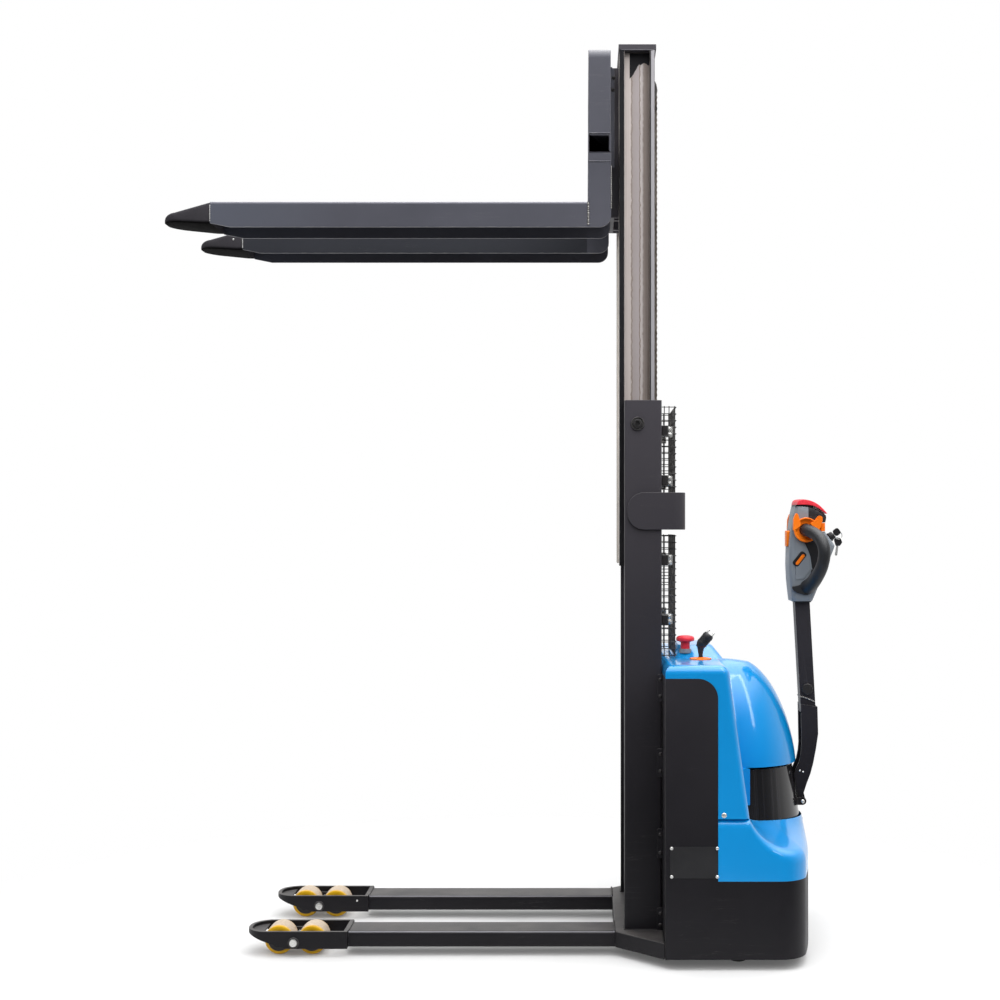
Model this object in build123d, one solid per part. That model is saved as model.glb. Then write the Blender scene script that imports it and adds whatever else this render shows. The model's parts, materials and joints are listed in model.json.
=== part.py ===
from build123d import *
import os
from math import cos, radians, sin, sqrt

# Electric walkie stacker: a two-stage mast on straddle legs, with a powered,
# tiller-steered drive unit in the body behind the mast.
# Millimetres. +X points from the fork tips to the operator, +Y across, +Z up.
# The origin is on the floor, under the middle of the truck's length.
# The mast stands fully raised, which is the rest position of every lift joint.

# Clearances
RUN_GAP = 0.3        # round faces that turn on each other
ROLLER_GAP = 0.5     # mast roller to rail flange, each side
SIDE_GAP = 2.0       # sliding steel beside sliding steel
PANEL_GAP = 0.6      # between body panels
TIE_GAP = 5.0        # inner rails to the outer mast tie
SWING_GAP = 4.0      # tiller lugs to the lower hood as they swing
BODY_GAP = 2.0       # outer rails to the body's front wall
PAST = 1.0           # how far a cutter or a stub runs past its face

# Lift
STROKE = 970.0           # travel of the inner mast; the forks travel twice as far
FORK_TOP_LOW = 90.0      # fork top above the floor, lowered
FORK_TOP = FORK_TOP_LOW + 2 * STROKE

# Forks and carriage
FORK_LENGTH = 1150.0
FORK_WIDTH = 170.0
FORK_SPREAD = 570.0      # over the outer faces of the two forks
FORK_DEPTH = 68.0
FORK_WALL = 6.0
FORK_TIP_LENGTH = 136.0
FORK_NOSE = 25.0         # thickness at the very tip
FORK_TIP_ROUND = 45.0    # plan radius of the tip corners
HEEL_X = 210.0           # front face of the fork heels
HEEL_DEPTH = 62.0
HEEL_RISE = 130.0        # heel above the fork top
HEEL_CORNER = 30.0
FORK_DROOP = 32.0        # tip below the fork top
FORK_RAMP = 54.0         # underside ramp behind the tip
FORK_EDGE = 4.0
BEAM_HEIGHT = 53.0
BEAM_WALL = 6.0
BACKREST_RISE = 231.0    # backrest above the beam
BACKREST_BAR = 8.0
BACKREST_BEND = 30.0
CARRIAGE_PLATE = 12.0
CARRIAGE_REACH = 95.0    # side plates behind the beam
CARRIAGE_HEIGHT = 417.0
CARRIAGE_ROLLER_RISE = 37.0   # lower rollers above the carriage foot
CARRIAGE_CLEAR = 12.0    # carriage above the base, lowered
CARRIAGE_SIDE = 7.0      # side plates inside the rail flanges
CARRIAGE_WINDOW = 60.0   # half width of the view window
ROLLER_SPACING = 310.0

# Mast
MAST_X = 344.5           # axis of the rollers that run inside the inner rails
ROLLER_R = 34.0
ROLLER_WIDTH = 24.0
FOOT_ROLLER_R = 38.0
FOOT_ROLLER_WIDTH = 28.0
FOOT_ROLLER_RISE = 50.0  # foot roller axis above the rail foot
FOOT_ROLLER_WEB_GAP = 3.0
ROLLER_CHAMFER = 2.0
STUB_R = 14.0            # roller stub axles
RAIL_FLANGE = 14.0
OUTER_FLANGE = 12.0
INNER_RAIL_Y = 125.0     # inner edge of the inner rail flanges
INNER_RAIL_WIDTH = 68.0
INNER_WEB = 10.0
OUTER_WEB = 8.0
OUTER_FLANGE_REACH = 45.0
INNER_LENGTH = 1413.0    # inner rails without the top plate
TOP_PLATE = 15.0
INNER_FOOT_LOW = 82.0    # inner rail foot above the floor, lowered
OUTER_TOP = 1502.0
OUTER_ROLLER_DROP = 64.0 # outer roller axis below the outer rail top
OUTER_CORNER = 6.0
PIN_HEAD_R = 18.0        # socket heads of the top roller pins
PIN_HEAD = 6.0
PIN_SOCKET_R = 7.0
FOOT_TIE = 60.0          # height of the inner rails' foot tie
MAST_TIE = 65.0          # height of the outer mast tie
CARRIAGE_ROLLER_WEB_GAP = 2.0

# Lift cylinder and chains
CYLINDER_R = 28.0
CYLINDER_WALL = 7.0
CYLINDER_TOP = 1400.0
ROD_R = 18.0
ROD_HOLD = 70.0          # rod left in the cylinder when raised
PISTON = 25.0
CYLINDER_FOOT = 35.0
GLAND = 24.0
PULLEY_R = 47.0          # to the middle of the chain
PULLEY_DROP = 79.0       # pulley axis below the top plate
PULLEY_SETBACK = 7.5     # pulley axis behind the roller axis
HANGER_HALF = 20.0       # pulley hanger plates
HANGER_PLATE = 7.0
PULLEY_WIDTH = 22.0
PULLEY_PIN_R = 11.0
CHAIN_Y = 70.0
CHAIN_WIDTH = 16.0
CHAIN_THICK = 10.0
CHAIN_ANCHOR_LOW = 1340.0  # rear chain ends, on the outer mast
CHAIN_ANCHOR_RISE = 30.0   # front chain ends, above the carriage foot
CHAIN_LUG = 15.0           # lugs that hold the chain ends
CHAIN_LUG_HALF = 9.0

# Base and straddle legs
BASE_TOP = 68.0
BASE_BOTTOM = 24.0
BASE_LENGTH = 130.0
BASE_REAR_HALF = 380.0
LEG_LENGTH = 720.0
LEG_WIDTH = 106.0
LEG_WALL = 6.0
LEG_CORNER = 10.0
LEG_OFFSET = 2.0         # leg outside the fork's middle
NOSE_LENGTH = 275.0
NOSE_WIDTH = 134.0
NOSE_WALL = 10.0
NOSE_CORNER = 60.0
NOSE_TOP = 70.0
NOSE_OFFSET = 3.0        # nose outside the fork's middle
NOSE_CHIN = 36.0         # rise of the chin under the tip
NOSE_CHIN_LENGTH = 113.0
LOAD_WHEEL_R = 40.0
LOAD_WHEEL_WIDTH = 70.0
LOAD_WHEEL_PITCH = 89.5
LOAD_HUB_R = 22.0
BOGIE_PLATE = 8.0
BOGIE_SETBACK = 131.0    # bogie pivot behind the nose tip
AXLE_R = 10.0
BOGIE_PIN_R = 9.0
BOGIE_HEAD = 6.0         # pivot bolt heads
BOGIE_SIDE = 2.0         # load wheel to bogie plate

# Guard and brace behind the mast
GUARD_HALF = 160.0
GUARD_DEPTH = 40.0
GUARD_WIRE = 3.0
GUARD_FOOT = 800.0
GUARD_ROWS = 29
GUARD_COLUMNS = 6
GUARD_SIDE_COLUMNS = 2
CLAMP_HEIGHTS = (905.0, 1068.0, 1312.0, 1440.0)
CLAMP_DEPTH = 16.0
CLAMP_HALF = 14.0
CLAMP_INSET = 10.0       # clamps inside the outer rail faces
BRACE_FOOT = 1151.0
BRACE_HEIGHT = 101.0
BRACE_BAR = 8.0
BRACE_SETBACK = 65.0     # brace behind the outer rails
BRACE_BEND = 35.0
BRACE_LAP = 93.0         # brace along the outer rail faces
BRACE_END = 45.0         # round ends of the brace

# Body
BODY_LENGTH = 414.0
BODY_BOW = 55.0          # bow of the back across the body
BODY_HALF = 395.0
BODY_CORNER = 80.0
BODY_WALL = 6.0
SKIRT_BOTTOM = 29.0
SKIRT_TOP = 233.0
PANEL_TOP = 762.0
PANEL_LENGTH = 137.0
PANEL_CORNER = 52.0
DECK = 797.0
SEAM = 396.0
HOOD_WALL = 4.0
HOOD_TOP_LENGTH = 163.0  # deck from the front wall to the rear edge
HOOD_FOOT_LENGTH = 221.0
DECK_ROUND = 24.0
CONSOLE_RISE = 31.0
CONSOLE_HALF = 150.0
CONSOLE_SETBACK = 46.0
CONSOLE_LENGTH = 110.0
FLOOR_Z = 150.0
FLOOR_PLATE = 8.0
FLOOR_SLOT = 45.0        # half width of the slot for the hose
SWEEP_LENGTH = 292.0     # low point of the lower hood's side sweep
SWEEP_Z = 323.0
SWEEP_BACK_Z = 297.0
HOSE_R = 7.0
HOSE_Z = 78.0
PUMP_Y = 150.0

# Steering and drive
STEER_X = 632.0
DOME_FOOT = 490.0
DOME_R = 171.0
DOME_MID_R = 149.0
DOME_MID_Z = 603.0
DOME_SHOULDER_R = 83.0
DOME_SHOULDER_Z = 731.0
DOME_CROWN_R = 46.0
DOME_CROWN_Z = 768.0
DOME_TOP = 783.0
COLLAR_TOP_R = 160.0
COLLAR_FOOT_R = 182.0
COLLAR_TOP = 488.0
COLLAR_FOOT = 334.0
COLLAR_WALL = 5.0
RIM_R = 187.0            # opening of the lower hood
RIM_TOP = 350.0
DRIVE_R = 115.0
DRIVE_WIDTH = 75.0
DRIVE_HOLE_R = 120.0
DRIVE_FLANGE_R = 136.0
DRIVE_RING = 18.0        # width of the slewing ring
DRIVE_AXLE_R = 15.0
MOTOR_R = 75.0
MOTOR_TOP = 440.0
CASTER_X = 640.0
CASTER_Y = 290.0
CASTER_R = 50.0
CASTER_WIDTH = 40.0
CASTER_TRAIL = 30.0
CASTER_STEM_R = 12.0

# Tiller
PIVOT_X = 818.0
PIVOT_Z = 382.0
PIVOT_PIN_R = 5.0
PIVOT_PIN_HEAD = 4.0     # pin past the lugs
LUG_R = 11.0
LUG_PLATE = 9.0
ARM_HALF = 35.0
ARM_PLATE = 6.0
ARM_END_R = 10.5         # round end of the arm on the pivot
TUBE_WIDTH = 42.0
TUBE_DEPTH = 50.0
TUBE_WALL = 4.0
TUBE_FOOT = (836.0, 662.0)
TUBE_TOP = (820.0, 951.0)
HEAD_HALF = 55.0
HEAD_TOP = 1212.0
GRIP_R = 16.0
GRIP_X = 825.0           # axis of the grip root and the thumb lever
GRIP_Z = 1150.0
GRIP_BENDS = [40.0, 30.0, 40.0, 40.0]
LEVER_R = 34.0
LEVER_WIDTH = 16.0
BUTTON_TRAVEL = 3.0
PAD_THICK = 15.0
PAD_TRAVEL = 4.0
PAD_X = 840.0
PAD_STEM_R = 10.0
SIDE_BUTTON_X = 810.0
SIDE_BUTTON_Z = 1066.0
KEY_X = 901.0            # face of the key switch
KEY_Z = 1128.0
PART_BACK = 940.0        # back of the hanging key
ESTOP_SETBACK = 69.0
ESTOP_Y = -120.0
ESTOP_R = 25.0
ESTOP_NECK_R = 14.0
ESTOP_Z = 815.0          # seat of the stop button
ESTOP_TOP = 857.0
ESTOP_TRAVEL = 6.0
CHARGER_SETBACK = 106.0
CHARGER_Y = -200.0
GROMMET_R = 30.0

# Places that follow from the sizes above
FORK_Y = FORK_SPREAD / 2 - FORK_WIDTH / 2
FORK_TIP_X = HEEL_X - FORK_LENGTH
FORK_BOTTOM = FORK_TOP - FORK_DEPTH
HEEL_BACK = HEEL_X + HEEL_DEPTH
BEAM_Z = FORK_TOP + HEEL_RISE
BEAM_TOP = BEAM_Z + BEAM_HEIGHT
CARRIAGE_FOOT = 2 * STROKE + BASE_TOP + CARRIAGE_CLEAR
CARRIAGE_TOP = CARRIAGE_FOOT + CARRIAGE_HEIGHT
CARRIAGE_ROLLER_Z = CARRIAGE_FOOT + CARRIAGE_ROLLER_RISE
INNER_FRONT = MAST_X - ROLLER_R - ROLLER_GAP - RAIL_FLANGE
INNER_BACK = MAST_X + ROLLER_R + ROLLER_GAP + RAIL_FLANGE
INNER_RAIL_OUT = INNER_RAIL_Y + INNER_RAIL_WIDTH
INNER_WEB_Y = INNER_RAIL_Y + (INNER_RAIL_WIDTH - INNER_WEB) / 2
INNER_FOOT = INNER_FOOT_LOW + STROKE
INNER_TOP = INNER_FOOT + INNER_LENGTH
OUTER_Y = INNER_RAIL_OUT + SIDE_GAP
OUTER_FACE = OUTER_Y + OUTER_FLANGE_REACH
OUTER_WEB_Y = OUTER_FACE - OUTER_WEB
FOOT_ROLLER_X = INNER_BACK + TIE_GAP - FOOT_ROLLER_R - ROLLER_GAP
OUTER_FRONT = FOOT_ROLLER_X - FOOT_ROLLER_R - ROLLER_GAP - OUTER_FLANGE
OUTER_BACK = FOOT_ROLLER_X + FOOT_ROLLER_R + ROLLER_GAP + OUTER_FLANGE
FOOT_ROLLER_Z = INNER_FOOT + FOOT_ROLLER_RISE
OUTER_ROLLER_Z = OUTER_TOP - OUTER_ROLLER_DROP
PULLEY_X = MAST_X + PULLEY_SETBACK
PULLEY_Z = INNER_TOP - PULLEY_DROP
CHAIN_REAR_X = PULLEY_X + PULLEY_R
CHAIN_FRONT_X = PULLEY_X - PULLEY_R
CHAIN_ANCHOR_HIGH = CARRIAGE_FOOT + CHAIN_ANCHOR_RISE
PLATE_Y = INNER_RAIL_Y - CARRIAGE_SIDE
CARRIAGE_ROLLER_Y = INNER_WEB_Y - CARRIAGE_ROLLER_WEB_GAP - ROLLER_WIDTH
OUTER_ROLLER_Y = INNER_WEB_Y + INNER_WEB + CARRIAGE_ROLLER_WEB_GAP
FOOT_ROLLER_Y = OUTER_WEB_Y - FOOT_ROLLER_WEB_GAP - FOOT_ROLLER_WIDTH
BODY_X = OUTER_BACK + BODY_GAP
BASE_BACK = BODY_X
BASE_X = BASE_BACK - BASE_LENGTH
LEG_Y = FORK_Y + LEG_OFFSET
LEG_FRONT = BASE_X - LEG_LENGTH
NOSE_Y = FORK_Y + NOSE_OFFSET
NOSE_FRONT = LEG_FRONT - NOSE_LENGTH
BOGIE_X = NOSE_FRONT + BOGIE_SETBACK
BODY_BACK = BODY_X + BODY_LENGTH
ESTOP_X = BODY_X + ESTOP_SETBACK
CHARGER_X = BODY_X + CHARGER_SETBACK
FLOOR_TOP = FLOOR_Z + FLOOR_PLATE
KEY_PLANE = Plane(origin=(KEY_X, 0, KEY_Z), x_dir=(0, 1, 0), z_dir=(0.8, 0, 0.6))
PIVOT_PIN_END = ARM_HALF + SIDE_GAP + LUG_PLATE + PIVOT_PIN_HEAD
ARM_LEAN = (TUBE_TOP[0] - TUBE_FOOT[0]) / (TUBE_TOP[1] - TUBE_FOOT[1])


# Shape helpers

def block(x0, x1, y0, y1, z0, z1):
    """A box between two corners."""
    return Pos((x0 + x1) / 2, (y0 + y1) / 2, (z0 + z1) / 2) * Box(x1 - x0, y1 - y0, z1 - z0)


def rod_x(x0, x1, y, z, r):
    """A round bar along X."""
    return Pos((x0 + x1) / 2, y, z) * Rot(0, 90, 0) * Cylinder(r, x1 - x0)


def rod_y(x, y0, y1, z, r):
    """A round bar along Y."""
    return Pos(x, (y0 + y1) / 2, z) * Rot(90, 0, 0) * Cylinder(r, y1 - y0)


def rod_z(x, y, z0, z1, r):
    """A round bar along Z."""
    return Pos(x, y, (z0 + z1) / 2) * Cylinder(r, z1 - z0)


def side_plate(points, y0, y1):
    """A plate cut to a side-view outline of (x, z) points, from y0 to y1."""
    outline = Polyline(*[(x, y0, z) for x, z in points], close=True)
    return extrude(make_face(outline), amount=y1 - y0, dir=(0, 1, 0))


def plan_plate(points, z0, z1):
    """A plate cut to a plan outline of (x, y) points, from z0 to z1."""
    outline = Polyline(*[(x, y, z0) for x, y in points], close=True)
    return extrude(make_face(outline), amount=z1 - z0, dir=(0, 0, 1))


def upright_edges(shape):
    """The edges of a shape that run along Z."""
    return shape.edges().filter_by(Axis.Z)


def cross_edges(shape):
    """The edges of a shape that run along Y."""
    return shape.edges().filter_by(Axis.Y)


def both_sides(shape):
    """A piece and its mirror image on the other side of the truck."""
    return [shape, mirror(shape, about=Plane.XZ)]


def group(solids):
    """Several separate solids that share one node."""
    return Compound(children=list(solids))


def turned(points, z_axis_x):
    """A solid of revolution about an upright axis from (radius, z) points."""
    outline = Polyline(*[(z_axis_x + r, 0, z) for r, z in points], close=True)
    axis = Axis((z_axis_x, 0, 0), (0, 0, 1))
    return revolve(make_face(outline), axis=axis)


# Mast

def inner_rails():
    """Two I-section rails with stub axles for the foot rollers, tied by a bar at the foot."""
    z0, z1 = INNER_FOOT, INNER_TOP
    rail = block(INNER_FRONT, INNER_FRONT + RAIL_FLANGE, INNER_RAIL_Y, INNER_RAIL_OUT, z0, z1)
    rail += block(INNER_BACK - RAIL_FLANGE, INNER_BACK, INNER_RAIL_Y, INNER_RAIL_OUT, z0, z1)
    rail += block(INNER_FRONT, INNER_BACK, INNER_WEB_Y, INNER_WEB_Y + INNER_WEB, z0, z1)
    stub_end = FOOT_ROLLER_Y + FOOT_ROLLER_WIDTH + PAST
    rail += rod_y(FOOT_ROLLER_X, INNER_WEB_Y, stub_end, FOOT_ROLLER_Z, STUB_R)
    tie_foot = z0 + 8
    tie = block(INNER_BACK - RAIL_FLANGE, INNER_BACK - 4, -INNER_RAIL_Y, INNER_RAIL_Y,
                tie_foot, tie_foot + FOOT_TIE)
    left, right = both_sides(rail)
    return left + right + tie


def inner_top_plate():
    """The plate that closes the inner mast, with hangers for the chain pulleys."""
    plate = block(INNER_FRONT - 2, INNER_BACK + 4, -INNER_RAIL_OUT, INNER_RAIL_OUT,
                  INNER_TOP, INNER_TOP + TOP_PLATE)
    inside = CHAIN_Y - PULLEY_WIDTH / 2 - SIDE_GAP
    outside = CHAIN_Y + PULLEY_WIDTH / 2 + SIDE_GAP
    for side in (-1, 1):
        for y in (inside - HANGER_PLATE, outside):
            y0, y1 = sorted((side * y, side * (y + HANGER_PLATE)))
            plate += block(PULLEY_X - HANGER_HALF, PULLEY_X + HANGER_HALF, y0, y1,
                           PULLEY_Z - HANGER_HALF, INNER_TOP)
        y0, y1 = sorted((side * (inside - HANGER_PLATE), side * (outside + HANGER_PLATE)))
        plate += rod_y(PULLEY_X, y0, y1, PULLEY_Z, PULLEY_PIN_R)
    return plate


def piston_rod():
    """The rod that lifts the inner mast, with its piston inside the cylinder."""
    foot = CYLINDER_TOP - ROD_HOLD
    rod = rod_z(MAST_X, 0, foot, INNER_TOP, ROD_R)
    rod += rod_z(MAST_X, 0, foot, foot + PISTON, CYLINDER_R - CYLINDER_WALL - RUN_GAP)
    return rod


def lift_cylinder():
    """A single-acting cylinder standing on the base, closed below, with a gland on top."""
    tube = rod_z(MAST_X, 0, BASE_TOP, CYLINDER_TOP, CYLINDER_R)
    bore_foot = BASE_TOP + CYLINDER_FOOT
    tube -= rod_z(MAST_X, 0, bore_foot, CYLINDER_TOP - GLAND, CYLINDER_R - CYLINDER_WALL)
    tube -= rod_z(MAST_X, 0, bore_foot, CYLINDER_TOP, ROD_R + RUN_GAP)
    return tube


def outer_rails():
    """Two C-section rails, open towards each other, bored for the top roller pins."""
    z0, z1 = BASE_TOP, OUTER_TOP
    rail = block(OUTER_FRONT, OUTER_BACK, OUTER_WEB_Y, OUTER_FACE, z0, z1)
    rail += block(OUTER_FRONT, OUTER_FRONT + OUTER_FLANGE, OUTER_Y, OUTER_FACE, z0, z1)
    rail += block(OUTER_BACK - OUTER_FLANGE, OUTER_BACK, OUTER_Y, OUTER_FACE, z0, z1)
    corners = upright_edges(rail).filter_by_position(Axis.Y, OUTER_FACE - PAST, OUTER_FACE + PAST)
    rail = fillet(corners, OUTER_CORNER)
    rail -= rod_y(MAST_X, OUTER_WEB_Y - PAST, OUTER_FACE + PAST, OUTER_ROLLER_Z, STUB_R)
    return group(both_sides(rail))


def outer_roller_pins():
    """Stub pins of the top rollers; their round socket heads show on the rail faces."""
    roller_end = OUTER_ROLLER_Y - PAST
    pin = rod_y(MAST_X, roller_end, OUTER_FACE, OUTER_ROLLER_Z, STUB_R)
    head_end = OUTER_FACE + PIN_HEAD
    head = rod_y(MAST_X, OUTER_FACE, head_end, OUTER_ROLLER_Z, PIN_HEAD_R)
    head -= rod_y(MAST_X, OUTER_FACE + PAST, head_end + PAST, OUTER_ROLLER_Z, PIN_SOCKET_R)
    return group(both_sides(pin + head))


def outer_mast_tie():
    """The cross bar between the outer rails that holds the rear chain ends."""
    z1 = CHAIN_ANCHOR_LOW - CHAIN_LUG
    x0, x1 = OUTER_BACK - OUTER_FLANGE, OUTER_BACK
    tie = block(x0, x1, -OUTER_Y, OUTER_Y, z1 - MAST_TIE, z1)
    for side in (-1, 1):
        y = side * CHAIN_Y
        tie += block(CHAIN_REAR_X - CHAIN_THICK / 2, x1, y - CHAIN_LUG_HALF, y + CHAIN_LUG_HALF,
                     z1, CHAIN_ANCHOR_LOW)
    return tie


def mast_brace():
    """A flat strap bent round the back of the outer rails."""
    x0, x1 = OUTER_BACK - BRACE_LAP, OUTER_BACK + BRACE_SETBACK
    z0, z1 = BRACE_FOOT, BRACE_FOOT + BRACE_HEIGHT
    half = OUTER_FACE + BRACE_BAR
    strap = block(x0, x1, -half, half, z0, z1)
    bends = upright_edges(strap).filter_by_position(Axis.X, x1 - 1, x1 + 1)
    strap = fillet(bends, BRACE_BEND)
    hollow = block(x0 - 1, x1 - BRACE_BAR, -OUTER_FACE, OUTER_FACE, z0, z1)
    bends = upright_edges(hollow).filter_by_position(Axis.X, x1 - BRACE_BAR - 1, x1)
    strap -= fillet(bends, BRACE_BEND - BRACE_BAR)
    ends = cross_edges(strap).filter_by_position(Axis.X, x0 - 1, x0 + 1)
    return fillet(ends, BRACE_END)


def chain_strand(x, z0, z1):
    """Two straight runs of leaf chain, one on each side of the cylinder."""
    y0, y1 = CHAIN_Y - CHAIN_WIDTH / 2, CHAIN_Y + CHAIN_WIDTH / 2
    run = block(x - CHAIN_THICK / 2, x + CHAIN_THICK / 2, y0, y1, z0, z1)
    return group(both_sides(run))


def lift_chain_wraps():
    """The half turns of chain over the two pulleys."""
    y0, y1 = CHAIN_Y - CHAIN_WIDTH / 2, CHAIN_Y + CHAIN_WIDTH / 2
    wrap = rod_y(PULLEY_X, y0, y1, PULLEY_Z, PULLEY_R + CHAIN_THICK / 2)
    wrap -= rod_y(PULLEY_X, y0, y1, PULLEY_Z, PULLEY_R - CHAIN_THICK / 2)
    reach = 2 * PULLEY_R
    wrap -= block(PULLEY_X - reach, PULLEY_X + reach, y0 - 1, y1 + 1, PULLEY_Z - reach, PULLEY_Z)
    return group(both_sides(wrap))


def chain_pulleys():
    """Two grooved pulleys that carry the chains at the top of the inner mast."""
    y0, y1 = CHAIN_Y - PULLEY_WIDTH / 2, CHAIN_Y + PULLEY_WIDTH / 2
    rim = PULLEY_R + CHAIN_THICK / 2 + 1
    pulley = rod_y(PULLEY_X, y0, y1, PULLEY_Z, rim)
    groove = CHAIN_WIDTH / 2 + RUN_GAP
    ring = rod_y(PULLEY_X, CHAIN_Y - groove, CHAIN_Y + groove, PULLEY_Z, rim + 1)
    groove_floor = PULLEY_R - CHAIN_THICK / 2 - ROLLER_GAP
    ring -= rod_y(PULLEY_X, CHAIN_Y - groove, CHAIN_Y + groove, PULLEY_Z, groove_floor)
    pulley -= ring
    pulley -= rod_y(PULLEY_X, y0 - 1, y1 + 1, PULLEY_Z, PULLEY_PIN_R + RUN_GAP)
    return group(both_sides(pulley))


def roller_pair(x, y, z, r, width):
    """A left and a right mast roller on one axis."""
    roller = rod_y(x, y, y + width, z, r)
    roller = chamfer(roller.edges().filter_by(GeomType.CIRCLE), ROLLER_CHAMFER)
    roller -= rod_y(x, y - PAST, y + width + PAST, z, STUB_R + RUN_GAP)
    return group(both_sides(roller))


# Guard behind the mast

def holed_panel(width, height, columns, rows, thickness):
    """A flat wire panel: one face with a grid of openings, lying in XY."""
    pitch_x = width / columns
    pitch_y = height / rows
    opening = Rectangle(pitch_x - GUARD_WIRE, pitch_y - GUARD_WIRE)
    frame = Rectangle(width + GUARD_WIRE, height + GUARD_WIRE)
    holes = [place * opening for place in GridLocations(pitch_x, pitch_y, columns, rows)]
    return extrude(frame - holes, amount=thickness)


def mesh_guard():
    """A shallow wire box: a back panel and two narrow side panels."""
    height = OUTER_TOP - GUARD_FOOT - GUARD_WIRE
    mid = (OUTER_TOP + GUARD_FOOT) / 2
    back_x = BODY_X + GUARD_DEPTH
    back = holed_panel(2 * GUARD_HALF - GUARD_WIRE, height, GUARD_COLUMNS, GUARD_ROWS, GUARD_WIRE)
    back_plane = Plane(origin=(back_x, 0, mid), x_dir=(0, 1, 0), z_dir=(1, 0, 0))
    panels = [back_plane * back]
    depth = GUARD_DEPTH - GUARD_WIRE
    side = holed_panel(depth, height, GUARD_SIDE_COLUMNS, GUARD_ROWS, GUARD_WIRE)
    side_x = BODY_X + GUARD_DEPTH / 2
    for y in (-GUARD_HALF + GUARD_WIRE, GUARD_HALF):
        plane = Plane(origin=(side_x, y, mid), x_dir=(1, 0, 0), z_dir=(0, -1, 0))
        panels.append(plane * side)
    guard = panels[0]
    for panel in panels[1:]:
        guard += panel
    return guard


def guard_clamps():
    """Clamp blocks on the backs of the outer rails that hold the guard."""
    clamps = []
    for z in CLAMP_HEIGHTS:
        clamp = block(OUTER_BACK, OUTER_BACK + CLAMP_DEPTH, GUARD_HALF, OUTER_FACE - CLAMP_INSET,
                      z - CLAMP_HALF, z + CLAMP_HALF)
        clamps += both_sides(clamp)
    return group(clamps)


# Carriage and forks

def fork(side):
    """An inverted channel with a wedge tip and an open heel box that straddles the leg."""
    y0, y1 = sorted((side * (FORK_Y - FORK_WIDTH / 2), side * (FORK_Y + FORK_WIDTH / 2)))
    outline = [
        (FORK_TIP_X, FORK_TOP - FORK_DROOP),
        (FORK_TIP_X, FORK_TOP - FORK_DROOP - FORK_NOSE),
        (FORK_TIP_X + FORK_TIP_LENGTH, FORK_TOP - FORK_DROOP - FORK_NOSE),
        (FORK_TIP_X + FORK_TIP_LENGTH + FORK_RAMP, FORK_BOTTOM),
        (HEEL_BACK, FORK_BOTTOM),
        (HEEL_BACK, BEAM_Z),
        (HEEL_X, BEAM_Z),
        (HEEL_X, FORK_TOP),
        (FORK_TIP_X + FORK_TIP_LENGTH, FORK_TOP),
    ]
    shape = side_plate(outline, y0, y1)
    heel_edge = cross_edges(shape).filter_by_position(Axis.X, HEEL_BACK - 1, HEEL_BACK + 1)
    shape = fillet(heel_edge.sort_by(Axis.Z)[0], HEEL_CORNER)
    tip_edges = upright_edges(shape).filter_by_position(Axis.X, FORK_TIP_X - 1, FORK_TIP_X + 1)
    shape = fillet(tip_edges, FORK_TIP_ROUND)
    in0, in1 = y0 + FORK_WALL, y1 - FORK_WALL
    floor = FORK_BOTTOM - 1
    shape -= block(FORK_TIP_X + FORK_TIP_LENGTH, HEEL_BACK - FORK_WALL, in0, in1, floor, FORK_TOP - FORK_WALL)
    shape -= block(HEEL_X + FORK_WALL, HEEL_BACK - FORK_WALL, in0, in1, floor, BEAM_Z - FORK_WALL)
    shape -= block(HEEL_X, HEEL_BACK + 1, in0, in1, floor, CARRIAGE_FOOT)
    top_edges = shape.edges().filter_by(Axis.X).filter_by_position(Axis.Z, FORK_TOP - 1, FORK_TOP + 1)
    top_edges = top_edges.filter_by_position(Axis.X, FORK_TIP_X, HEEL_X)
    return fillet(top_edges, FORK_EDGE)


def carriage_beam():
    """A rectangular tube across the heels, open at both ends."""
    half = FORK_SPREAD / 2
    beam = block(HEEL_X, HEEL_BACK, -half, half, BEAM_Z, BEAM_TOP)
    beam -= block(HEEL_X + BEAM_WALL, HEEL_BACK - BEAM_WALL, -half, half,
                  BEAM_Z + BEAM_WALL, BEAM_TOP - BEAM_WALL)
    return beam


def load_backrest():
    """A flat bar bent into an arch, standing on the beam."""
    half = FORK_SPREAD / 2
    top = BEAM_TOP + BACKREST_RISE
    arch = block(HEEL_X + 1, HEEL_BACK - 1, -half, half, BEAM_TOP, top)
    arch = fillet(arch.edges().filter_by(Axis.X).group_by(Axis.Z)[-1], BACKREST_BEND)
    hollow = block(HEEL_X, HEEL_BACK, -half + BACKREST_BAR, half - BACKREST_BAR, BEAM_TOP, top - BACKREST_BAR)
    hollow = fillet(hollow.edges().filter_by(Axis.X).group_by(Axis.Z)[-1], BACKREST_BEND - BACKREST_BAR)
    return arch - hollow


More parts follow.
